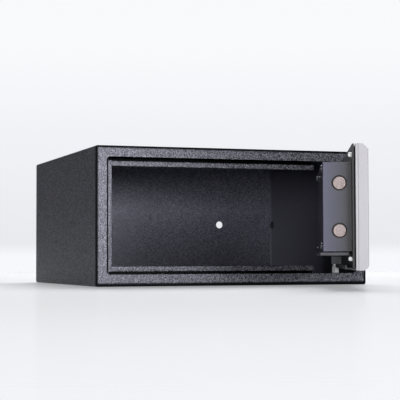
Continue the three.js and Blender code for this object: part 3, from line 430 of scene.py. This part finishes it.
def satin_paint(name, *sizes):
    """A whole piece in one such paint."""
    return satin_parts(name, *sizes)[0]


def lock_box_paint():
    """Satin paint on the lock cover, with painted shade toward the door, on its back and round the
    bolts.
    """
    material, tree, surface, place = satin_parts(
        "satin_lock_cover_paint", "#47485f", "#50516c", 0.36, 2.2 * MM, 0.05 * MM
    )
    # The door's own axes, as if it were shut.
    shut = put(
        tree,
        "ShaderNodeMapping",
        {
            "Vector": place,
            "Location": INTO_DOOR.to_translation(),
            "Rotation": INTO_DOOR.to_euler(),
        },
    )
    depth = put(tree, "ShaderNodeSeparateXYZ", {"Vector": shut.outputs["Vector"]})
    cover_low, cover_high = shut_box("lock_cover")
    # The painted shade on the back sets in this far under it, and is full just under it, but never
    # whole.
    back_starts, back_full, back_most = 0.35 * MM, 0.1 * MM, 0.88
    # Painted shade that deepens toward the door, where the plate shades the cover.
    toward_door = put(
        tree,
        "ShaderNodeMapRange",
        {
            "Value": depth.outputs["Y"],
            "From Min": cover_low.y,
            "From Max": cover_high.y,
            "To Min": 1.0,
            "To Max": 0.0,
        },
    )
    on_the_back = put(
        tree,
        "ShaderNodeMapRange",
        {
            "Value": depth.outputs["Y"],
            "From Min": cover_high.y - back_starts,
            "From Max": cover_high.y - back_full,
            "To Max": back_most,
        },
    )
    share = put(
        tree,
        "ShaderNodeMath",
        {0: toward_door.outputs["Result"], 1: on_the_back.outputs["Result"]},
        operation="MAXIMUM",
    )
    # The gap between a bolt and its hole lies in shade; that shade is painted as a dark ring,
    # drawn out over the hole's rim.
    ring_starts, ring_full = 11.0 * MM, 10.0 * MM
    for bolt in ("bolt_lower", "bolt_upper"):
        bolt_low, bolt_high = shut_box(bolt)
        middle = (bolt_low + bolt_high) / 2
        away = put(
            tree,
            "ShaderNodeVectorMath",
            {0: shut.outputs["Vector"], 1: (cover_low.x, middle.y, middle.z)},
            operation="DISTANCE",
        )
        ring = put(
            tree,
            "ShaderNodeMapRange",
            {"Value": away.outputs["Value"], "From Min": ring_starts, "From Max": ring_full},
        )
        share = put(
            tree,
            "ShaderNodeMath",
            {0: share.outputs["Value"], 1: ring.outputs["Result"]},
            operation="MAXIMUM",
        )
    # All three are painted shade, in one dark tone.
    fade(tree, surface, share.outputs["Value"], ink("#141418"))
    mirror = surface.inputs["Specular IOR Level"]
    dimmed = put(
        tree,
        "ShaderNodeMapRange",
        {
            "Value": on_the_back.outputs["Result"],
            "To Min": mirror.default_value,
            "To Max": FAINT_MIRROR,
        },
    )
    tree.links.new(dimmed.outputs["Result"], mirror)
    return material


def bright_metal(
    name, low, high, roughness, grain, along=(1, 1, 1), patch=9 * MM, relief=0.04 * MM, metal=1.0
):
    """Plated or machined metal: fine marks along one way, and patches of duller plate."""
    material, tree, surface, place = finish(name, {"Base Color": ink(low), "Metallic": metal})
    stretch = put(tree, "ShaderNodeMapping", {"Vector": place, "Scale": along})
    marks = put(
        tree,
        "ShaderNodeTexNoise",
        {"Vector": stretch.outputs["Vector"], "Scale": 1 / grain, "Detail": 4.0},
    )
    patches = put(
        tree, "ShaderNodeTexNoise", {"Vector": place, "Scale": 1 / patch, "Detail": 2.0}
    )
    fade(tree, surface, patches.outputs["Fac"], ink(high))
    uneven(tree, surface, marks.outputs["Fac"], roughness - 0.08, roughness + 0.1, 0.25, relief)
    return material


def moulded_plastic(name, low, high, roughness, grit=0.5 * MM, relief=0.05 * MM):
    """Moulded plastic: a spark-eroded tool leaves a fine even grit all over it."""
    material, tree, surface, place = finish(name, {"Base Color": ink(low)})
    grain = put(tree, "ShaderNodeTexNoise", {"Vector": place, "Scale": 1 / grit, "Detail": 3.0})
    fade(tree, surface, grain.outputs["Fac"], ink(high))
    uneven(tree, surface, grain.outputs["Fac"], roughness - 0.05, roughness + 0.05, 0.4, relief)
    return material


def circuit_board_lacquer():
    """Green solder lacquer over glass fibre: darker between the copper tracks, glossy all over."""
    # Real tracks are a few tenths of a millimetre wide; they are drawn coarser, so that they show.
    field = 4.8 * MM
    material, tree, surface, place = finish(
        "green_solder_lacquer", {"Base Color": ink("#1d5a38"), "Roughness": 0.25}
    )
    tracks = put(
        tree,
        "ShaderNodeTexVoronoi",
        {"Vector": place, "Scale": 1 / field},
        distance="MANHATTAN",
        feature="F1",
    )
    edge = put(
        tree,
        "ShaderNodeMapRange",
        {"Value": tracks.outputs["Distance"], "From Min": 0.45, "From Max": 0.55},
    )
    fade(tree, surface, edge.outputs["Result"], ink("#2f7a4c"))
    return material


front_coat = frame_coat()
stop_coat = rail_coat()
keeper_coat = keeper_rail_coat()
weld_coat = powder_grains("weld_powder_coat", *COAT)[0]
outer_coat = wrap_coat()
inner_coat = rear_panel_coat()
black_paint = satin_paint("satin_black_paint", "#161619", "#202024", 0.5, 2.5 * MM, 0.06 * MM)
grey_paint = satin_paint("satin_dark_grey_paint", "#2c2c35", "#33333e", 0.36, 2.2 * MM, 0.05 * MM)
cover_paint = lock_box_paint()
silver_paint = satin_paint(
    "silver_lacquered_steel", "#c0bec2", "#c8c6ca", 0.38, 1.8 * MM, 0.03 * MM
)
# The hinge leaves stand in the lock cover's shade; their pale grey is painted light, so that they
# still show.
leaf_steel = satin_paint("leaf_steel_painted_light", "#86878e", "#96979e", 0.45, 1.5 * MM, 0.05 * MM)
silver_abs = moulded_plastic("silver_lacquered_abs", "#bbb9be", "#c4c2c7", 0.36)
nickel = bright_metal(
    "nickel_plate", "#5a5354", "#c0b2af", 0.5, 0.8 * MM, patch=1.6 * MM, relief=0.3 * MM
)
dull_zinc = bright_metal("passivated_screw_zinc", "#5c5e63", "#74767b", 0.45, 0.5 * MM)
# The pins stand in the frame's shade; drawn near white and only part metallic as a painted
# highlight, they still show bright there.
pin_zinc = bright_metal(
    "bright_pin_zinc", "#e2e4e6", "#f4f5f6", 0.4, 0.6 * MM, relief=0.1 * MM, metal=0.3
)
zinc = bright_metal("zinc_plate", "#c4c7cb", "#dcdee1", 0.42, 0.6 * MM, (1, 1, 0.15))
brass = bright_metal("machined_brass", "#b08e48", "#c9a860", 0.3, 0.5 * MM, (1, 1, 0.2))
black_abs = moulded_plastic("black_abs", "#101012", "#191a1c", 0.5)
white_nylon = moulded_plastic("white_nylon", "#fafaf9", "#ffffff", 0.35)
grey_keys = moulded_plastic("grey_key_plastic", "#4b4d52", "#585a5f", 0.55)
foam = moulded_plastic("closed_cell_foam", "#08080a", "#141416", 0.9, 1.2 * MM, 0.3 * MM)
acrylic = moulded_plastic("smoked_red_acrylic", "#120607", "#1a090a", 0.08, 4 * MM, 0.002 * MM)
cell_sleeve = moulded_plastic("printed_cell_sleeve", "#29466e", "#33557f", 0.3, 3 * MM, 0.01 * MM)
lacquer = circuit_board_lacquer()
numeral_ink = moulded_plastic("pad_printed_white", "#e4e4e4", "#f0f0f0", 0.5)

# Which finish each node takes, and how far its sharp edges are eased, in mm.
WORN = [
    (front_coat, 0.95, ["front_frame"]),
    (stop_coat, 0.95, ["stop_rail_top", "stop_rail_bottom"]),
    (keeper_coat, 0.95, ["keeper_rail"]),
    (outer_coat, 0.95, ["cabinet_wrap"]),
    (inner_coat, 0.95, ["rear_panel"]),
    (black_paint, 0.3, ["hinge_bracket_lower", "hinge_bracket_upper"]),
    (black_paint, 0.3, ["door_plate", "lock_chassis"]),
    (cover_paint, 0.3, ["lock_cover"]),
    (grey_paint, 0.3, ["battery_cover"]),
    (leaf_steel, 0.3, ["hinge_leaf_lower", "hinge_leaf_upper"]),
    (pin_zinc, 0.5, ["hinge_pin_lower", "hinge_pin_upper"]),
    (zinc, 0.2, ["motor_bracket", "bolt_carriage", "override_cam", "battery_cover_screw"]),
    (dull_zinc, 0.15, [f"cover_screw_{i}" for i in range(1, 5)]),
    (cell_sleeve, 0.4, [f"battery_cell_{i}" for i in range(1, 5)]),
    (nickel, 0.15, ["bolt_lower", "bolt_upper", "override_lock_body"]),
    (silver_abs, 0.15, ["fascia"]),
    (silver_abs, 0.1, ["fascia_backplate"]),
    (foam, 0.2, ["fascia_gasket"]),
    (silver_paint, 0.3, ["keyhole_cover"]),
    (brass, 0.1, ["drive_pinion", "override_plug"]),
    (black_abs, 0.3, ["gear_motor", "battery_holder", "cable_hole_plug", "reset_button"]),
    (lacquer, 0.1, ["circuit_board", "keypad_board"]),
    (white_nylon, 0.2, ["door_buffer_upper", "door_buffer_lower"]),
    (grey_keys, 0.5, [f"key_{label}" for label in KEYS]),
    (acrylic, 0.2, ["display_window"]),
]

# Points closer than this are one point of the mesh.
SAME_POINT = 0.002 * MM
# Faces that turn less than the first angle are one flat. Edges sharper than the second stay
# sharp, and those sharper than the third are eased.
FLAT, ROUND, SHARP = math.radians(0.3), math.radians(32), math.radians(50)


def smooth_by_angle():
    """A node tree that shades round faces smooth and keeps edges sharper than its limit."""
    tree = bpy.data.node_groups.new("smooth_round_faces", "GeometryNodeTree")
    tree.interface.new_socket("Geometry", in_out="INPUT", socket_type="NodeSocketGeometry")
    limit = tree.interface.new_socket(
        "Sharp angle", in_out="INPUT", socket_type="NodeSocketFloat"
    )
    limit.default_value = ROUND
    tree.interface.new_socket("Geometry", in_out="OUTPUT", socket_type="NodeSocketGeometry")
    given = put(tree, "NodeGroupInput")
    angle = put(tree, "GeometryNodeInputMeshEdgeAngle")
    sharp = put(
        tree,
        "FunctionNodeCompare",
        {0: angle.outputs["Unsigned Angle"], 1: given.outputs["Sharp angle"]},
        operation="GREATER_THAN",
    )
    faces = put(
        tree,
        "GeometryNodeSetShadeSmooth",
        {"Geometry": given.outputs["Geometry"], "Shade Smooth": True},
        domain="FACE",
    )
    edges = put(
        tree,
        "GeometryNodeSetShadeSmooth",
        {"Geometry": faces.outputs[0], "Selection": sharp.outputs[0], "Shade Smooth": False},
        domain="EDGE",
    )
    put(tree, "NodeGroupOutput", {"Geometry": edges.outputs[0]})
    return tree


def ease_edges(piece, width, shade_tree):
    """Welds a piece's triangles, clears lines on its flats, eases its edges and smooths turns."""
    weld = piece.modifiers.new("weld", "WELD")
    weld.merge_threshold = SAME_POINT
    flats = piece.modifiers.new("flats", "DECIMATE")
    flats.decimate_type = "DISSOLVE"
    flats.angle_limit = FLAT
    eased = piece.modifiers.new("eased", "BEVEL")
    eased.width = width
    eased.segments = 2
    eased.limit_method = "ANGLE"
    eased.angle_limit = SHARP
    smooth = piece.modifiers.new("smooth", "NODES")
    smooth.node_group = shade_tree
    # Flats weigh fully against the narrow eased edges, so that they stay evenly lit.
    level = piece.modifiers.new("level_flats", "WEIGHTED_NORMAL")
    level.weight = 100
    level.keep_sharp = True


def dress_nodes():
    """Gives each node its finish and its eased edges."""
    shade_tree = smooth_by_angle()
    for material, width, names in WORN:
        for name in names:
            piece = nodes[name]
            piece.data.materials.clear()
            piece.data.materials.append(material)
            ease_edges(piece, width * MM, shade_tree)


dress_nodes()

# Pieces that only the dressed safe has


def hang(name, mesh, body):
    """Puts a finished mesh in the scene as a piece that moves with one body."""
    made = bpy.data.objects.new(name, mesh)
    bpy.context.scene.collection.objects.link(made)
    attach(made, body)


def mesh_of(holder, name, place):
    """The mesh that an object's curve or modifiers make, turned into place, without the object."""
    bpy.context.scene.collection.objects.link(holder)
    seen = holder.evaluated_get(bpy.context.evaluated_depsgraph_get())
    mesh = bpy.data.meshes.new_from_object(seen)
    mesh.name = name
    mesh.transform(place)
    bpy.data.objects.remove(holder)
    return mesh


def shaped_by_nodes(name, tree, sizes, place):
    """The mesh that a node tree makes with these sizes, turned into place."""
    holder = bpy.data.objects.new(name, bpy.data.meshes.new(name))
    maker = holder.modifiers.new("maker", "NODES")
    maker.node_group = tree
    for item in tree.interface.items_tree:
        if item.in_out == "INPUT":
            maker[item.identifier] = sizes[item.name]
    return mesh_of(holder, name, place)


def tree_with_sizes(name, sizes):
    """An empty node tree with named size inputs and one geometry output."""
    tree = bpy.data.node_groups.new(name, "GeometryNodeTree")
    for size, kind in sizes.items():
        tree.interface.new_socket(size, in_out="INPUT", socket_type=kind)
    tree.interface.new_socket("Geometry", in_out="OUTPUT", socket_type="NodeSocketGeometry")
    return tree, put(tree, "NodeGroupInput")


def close_tree(tree, shape, material):
    """Ends a tree: instances made real, and the finish set."""
    real = put(tree, "GeometryNodeRealizeInstances", {"Geometry": shape})
    dressed = put(
        tree, "GeometryNodeSetMaterial", {"Geometry": real.outputs[0], "Material": material}
    )
    put(tree, "NodeGroupOutput", {"Geometry": dressed.outputs[0]})


def turning_marks():
    """The fine raised spiral that the lathe's last cut leaves on a bolt's end."""
    tree, given = tree_with_sizes(
        "turning_marks",
        {
            "Outer radius": "NodeSocketFloat",
            "Inner radius": "NodeSocketFloat",
            "Turns": "NodeSocketFloat",
            "Ridge radius": "NodeSocketFloat",
        },
    )
    spiral = put(
        tree,
        "GeometryNodeCurveSpiral",
        {
            "Resolution": 48,
            "Rotations": given.outputs["Turns"],
            "Start Radius": given.outputs["Inner radius"],
            "End Radius": given.outputs["Outer radius"],
            "Height": 0.0,
        },
    )
    ridge = put(
        tree,
        "GeometryNodeCurvePrimitiveCircle",
        {"Resolution": 6, "Radius": given.outputs["Ridge radius"]},
    )
    swept = put(
        tree,
        "GeometryNodeCurveToMesh",
        {"Curve": spiral.outputs[0], "Profile Curve": ridge.outputs[0], "Fill Caps": True},
    )
    close_tree(tree, swept.outputs[0], nickel)
    return tree


def weld_row():
    """A row of spot welds: low round dimples, evenly spaced along a flange."""
    tree, given = tree_with_sizes(
        "weld_row",
        {
            "Length": "NodeSocketFloat",
            "Spots": "NodeSocketInt",
            "Spot radius": "NodeSocketFloat",
            "Spot height": "NodeSocketFloat",
        },
    )
    end = put(tree, "ShaderNodeCombineXYZ", {"X": given.outputs["Length"]})
    line = put(
        tree,
        "GeometryNodeMeshLine",
        {"Count": given.outputs["Spots"], 3: end.outputs[0]},
        mode="END_POINTS",
    )
    spot = put(
        tree,
        "GeometryNodeMeshCone",
        {
            "Vertices": 24,
            "Radius Top": given.outputs["Spot radius"],
            "Radius Bottom": given.outputs["Spot radius"],
            "Depth": given.outputs["Spot height"],
        },
    )
    spots = put(
        tree,
        "GeometryNodeInstanceOnPoints",
        {"Points": line.outputs[0], "Instance": spot.outputs[0]},
    )
    close_tree(tree, spots.outputs[0], weld_coat)
    return tree


def bolt_end_rings():
    """Turning marks on the end of each bolt, standing just proud of its flat."""
    rim = 1.0 * MM
    tree = turning_marks()
    for node in ("bolt_lower", "bolt_upper"):
        low, high = shut_box(node)
        middle = (low + high) / 2
        flat = Matrix.Translation((low.x, middle.y, middle.z))
        outward = Matrix.Rotation(-math.pi / 2, 4, "Y")
        sizes = {
            "Outer radius": (high.z - low.z) / 2 - rim,
            "Inner radius": 0.5 * MM,
            "Turns": 6.0,
            "Ridge radius": 0.15 * MM,
        }
        name = f"{node}_turning_marks"
        hang(name, shaped_by_nodes(name, tree, sizes, DOOR_TURN @ flat @ outward), "bolt_work")


def flange_welds():
    """Spot welds that hold the rear panel's flange to the wrap, seen from behind the safe."""
    tree = weld_row()
    low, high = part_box("rear_panel")
    sheet = 2.0 * MM
    # Each row starts this far from a corner, or from the middle on the short sides.
    margin = 40 * MM
    from_back = 12 * MM
    y = high[1] - from_back
    wide = high[0] - low[0] - 2 * margin
    middle = (low[2] + high[2]) / 2
    across, upright = Matrix(), Matrix.Rotation(-math.pi / 2, 4, "Y")
    rows = {
        "floor": ((low[0] + margin, y, low[2] + sheet), across, wide, 7),
        "roof": ((low[0] + margin, y, high[2] - sheet), across, wide, 7),
        "left": ((low[0] + sheet, y, middle - margin), upright, 2 * margin, 3),
        "right": ((high[0] - sheet, y, middle - margin), upright, 2 * margin, 3),
    }
    for side, (place, turn, length, spots) in rows.items():
        sizes = {
            "Length": length,
            "Spots": spots,
            "Spot radius": 2.6 * MM,
            "Spot height": 0.15 * MM,
        }
        name = f"rear_weld_row_{side}"
        hang(name, shaped_by_nodes(name, tree, sizes, Matrix.Translation(place) @ turn), "cabinet")


def key_numerals():
    """The signs printed on the keys, each a thin film of ink as a mesh."""
    signs = {"clear": "*", "lock": "#"}
    for label in KEYS:
        low, high = shut_box(f"key_{label}")
        curve = bpy.data.curves.new(f"numeral_{label}", "FONT")
        curve.body = signs.get(label, label)
        curve.size = 8 * MM
        curve.align_x = "CENTER"
        curve.align_y = "CENTER"
        curve.extrude = 0.03 * MM
        middle = (low + high) / 2
        face = Matrix.Translation((middle.x, low.y, middle.z))
        upright = Matrix.Rotation(math.pi / 2, 4, "X")
        name = f"numeral_{label}"
        mesh = mesh_of(bpy.data.objects.new(name, curve), name, DOOR_TURN @ face @ upright)
        mesh.materials.clear()
        mesh.materials.append(numeral_ink)
        hang(name, mesh, f"key_{label}_body")


bolt_end_rings()
flange_welds()
key_numerals()

# Studio

# The camera's place, and its turn to the right, its lift and its slight roll, in radians.
CAMERA_PLACE = (-0.67039, -1.96775, 0.03945)
YAW, PITCH, ROLL = 0.3352, 0.0452, -0.0027

# The even light that comes from all round the studio.
EVEN_LIGHT = 0.1
# The floor's own colour, and the share of its tone that is that colour whatever light it gets.
FLOOR_PALE = "#eceef1"
FLOOR_LIFT = 0.33
# How far from the safe's middle the floor starts to melt into the backdrop, and is gone.
MELT_STARTS, MELT_ENDS = 0.8, 2.3
# The backdrop's colours from the horizon up, each at its share of the rise, which is given as
# the sine of elevation. Above the camera's view the room is dim.
BACKDROP_RISE = 0.4
BACKDROP = [
    (0.006, "#f6f8fc"),
    (0.03, "#e9eaee"),
    (0.25, "#f1f3f7"),
    (0.4, "#f8fafc"),
    (0.55, "#f8f9fb"),
    (0.8, "#8f9196"),
]
# How bright metal sees the room away from the bright backdrop behind the safe, and the cosines
# of the angles from the view's direction at which that dimness is full and is gone.
DIM_ROOM = 0.1
DIM_FROM, BRIGHT_FROM = 0.9, 0.97

# Each soft lamp: its place, the point it faces, its width and height in metres, its watts.
LAMPS = {
    "key_softbox": ((0.1, -3.5, 0.38), (-0.1, -0.2, 0.1), 1.2, 0.6, 40),
    "fill_softbox": ((-2.2, -2.6, 0.5), (0.1, 0, 0.1), 1.6, 1.0, 17),
    "door_softbox": ((-1.6, -3.0, 0.36), (0.1, 0, 0.1), 1.2, 0.7, 17),
    "top_softbox": ((0.9, 1.6, 2.6), (0, -0.3, 0), 2.4, 2.0, 128),
}


def looked_at(tree):
    """1 for a ray from the camera and a mirrored or passed one, 0 for one that gathers light."""
    rays = put(tree, "ShaderNodeLightPath").outputs
    bright = put(
        tree,
        "ShaderNodeMath",
        {0: rays["Is Glossy Ray"], 1: rays["Is Transmission Ray"]},
        operation="MAXIMUM",
    )
    seen = put(
        tree,
        "ShaderNodeMath",
        {0: rays["Is Camera Ray"], 1: bright.outputs["Value"]},
        operation="MAXIMUM",
    )
    return seen.outputs["Value"]


def studio_floor():
    """A pale matt floor that keeps the safe's soft shadow and a faint gleam."""
    reach = 14.0
    # Just under the safe, so that their faces don't lie in one plane.
    z = -0.1 * MM
    mesh = bpy.data.meshes.new("studio_floor")
    corners = [(-reach, -reach, z), (reach, -reach, z), (reach, reach, z), (-reach, reach, z)]
    mesh.from_pydata(corners, [], [(0, 1, 2, 3)])
    floor = bpy.data.objects.new("studio_floor", mesh)
    bpy.context.scene.collection.objects.link(floor)
    material = bpy.data.materials.new("pale_studio_floor")
    material.use_nodes = True
    tree = material.node_tree
    tree.nodes.clear()
    board = put(
        tree,
        "ShaderNodeBsdfPrincipled",
        {
            "Base Color": ink(FLOOR_PALE),
            "Roughness": 0.5,
            "Specular IOR Level": 0.25,
            "Coat Weight": 0.12,
            "Coat Roughness": 0.06,
        },
    )
    # Far from the safe the floor melts into the backdrop, so no hard horizon shows.
    place = put(tree, "ShaderNodeTexCoord").outputs["Object"]
    away = put(tree, "ShaderNodeVectorMath", {0: place}, operation="LENGTH")
    melt = put(
        tree,
        "ShaderNodeMapRange",
        {"Value": away.outputs["Value"], "From Min": MELT_STARTS, "From Max": MELT_ENDS},
        interpolation_type="SMOOTHSTEP",
    )
    clear = put(tree, "ShaderNodeBsdfTransparent")
    # Camera and metal see part of the floor's own pale colour, so that its shadow stays light.
    pale = put(tree, "ShaderNodeEmission", {"Color": ink(FLOOR_PALE), "Strength": 1.0})
    lift = put(tree, "ShaderNodeMath", {0: looked_at(tree), 1: FLOOR_LIFT}, operation="MULTIPLY")
    seen = put(
        tree,
        "ShaderNodeMixShader",
        {"Fac": lift.outputs["Value"], 1: board.outputs["BSDF"], 2: pale.outputs["Emission"]},
    )
    whole = put(
        tree,
        "ShaderNodeMixShader",
        {"Fac": melt.outputs["Result"], 1: seen.outputs["Shader"], 2: clear.outputs["BSDF"]},
    )
    put(tree, "ShaderNodeOutputMaterial", {"Surface": whole.outputs["Shader"]})
    mesh.materials.append(material)


def studio_world():
    """Even white light all round, and the pale backdrop that the camera and the metal see."""
    world = bpy.data.worlds.new("studio")
    bpy.context.scene.world = world
    world.use_nodes = True
    tree = world.node_tree
    tree.nodes.clear()
    way = put(tree, "ShaderNodeTexCoord").outputs["Generated"]
    parts = put(tree, "ShaderNodeSeparateXYZ", {"Vector": way})
    rise = put(
        tree,
        "ShaderNodeMapRange",
        {"Value": parts.outputs["Z"], "From Min": 0.0, "From Max": BACKDROP_RISE},
    )
    shade = put(tree, "ShaderNodeValToRGB", {"Fac": rise.outputs["Result"]})
    stops = shade.color_ramp.elements
    while len(stops) < len(BACKDROP):
        stops.new(1.0)
    for stop, (share, colour) in zip(stops, BACKDROP):
        stop.position = share
        stop.color = ink(colour)
    # Metal and gloss see the bright backdrop behind the safe and a dimmer room elsewhere.
    ahead = put(
        tree,
        "ShaderNodeVectorMath",
        {0: way, 1: (math.sin(YAW), math.cos(YAW), 0)},
        operation="DOT_PRODUCT",
    )
    depth = put(
        tree,
        "ShaderNodeMapRange",
        {
            "Value": ahead.outputs["Value"],
            "From Min": DIM_FROM,
            "From Max": BRIGHT_FROM,
            "To Min": DIM_ROOM,
            "To Max": 1.0,
        },
    )
    camera_ray = put(tree, "ShaderNodeLightPath").outputs["Is Camera Ray"]
    strength = put(
        tree,
        "ShaderNodeMath",
        {0: camera_ray, 1: depth.outputs["Result"]},
        operation="MAXIMUM",
    )
    backdrop = put(
        tree,
        "ShaderNodeBackground",
        {"Color": shade.outputs["Color"], "Strength": strength.outputs["Value"]},
    )
    even = put(tree, "ShaderNodeBackground", {"Color": ink("#f4f6fb"), "Strength": EVEN_LIGHT})
    mix = put(
        tree,
        "ShaderNodeMixShader",
        {
            "Fac": looked_at(tree),
            1: even.outputs["Background"],
            2: backdrop.outputs["Background"],
        },
    )
    put(tree, "ShaderNodeOutputWorld", {"Surface": mix.outputs["Shader"]})


def softbox(name, place, aim, width, height, power):
    """A rectangular soft lamp that faces a point on the safe, and that the camera can't see."""
    lamp = bpy.data.lights.new(name, "AREA")
    lamp.shape = "RECTANGLE"
    lamp.size = width
    lamp.size_y = height
    lamp.energy = power
    box = bpy.data.objects.new(name, lamp)
    box.visible_camera = False
    box.location = place
    box.rotation_euler = (Vector(aim) - Vector(place)).to_track_quat("-Z", "Y").to_euler()
    bpy.context.scene.collection.objects.link(box)


def portrait_camera():
    """The photograph's viewpoint: low, to the left of the safe, and far back."""
    view = bpy.data.cameras.new("portrait")
    view.sensor_width = 36.0
    view.lens = 116.5
    view.clip_start = 0.05
    view.clip_end = 60.0
    camera = bpy.data.objects.new("portrait", view)
    turn = (
        Matrix.Rotation(-YAW, 4, "Z")
        @ Matrix.Rotation(math.pi / 2 + PITCH, 4, "X")
        @ Matrix.Rotation(ROLL, 4, "Z")
    )
    camera.matrix_world = Matrix.Translation(CAMERA_PLACE) @ turn
    bpy.context.scene.collection.objects.link(camera)
    bpy.context.scene.camera = camera


studio_floor()
studio_world()
for name, settings in LAMPS.items():
    softbox(name, *settings)
portrait_camera()
bpy.context.scene.view_settings.view_transform = "Standard"
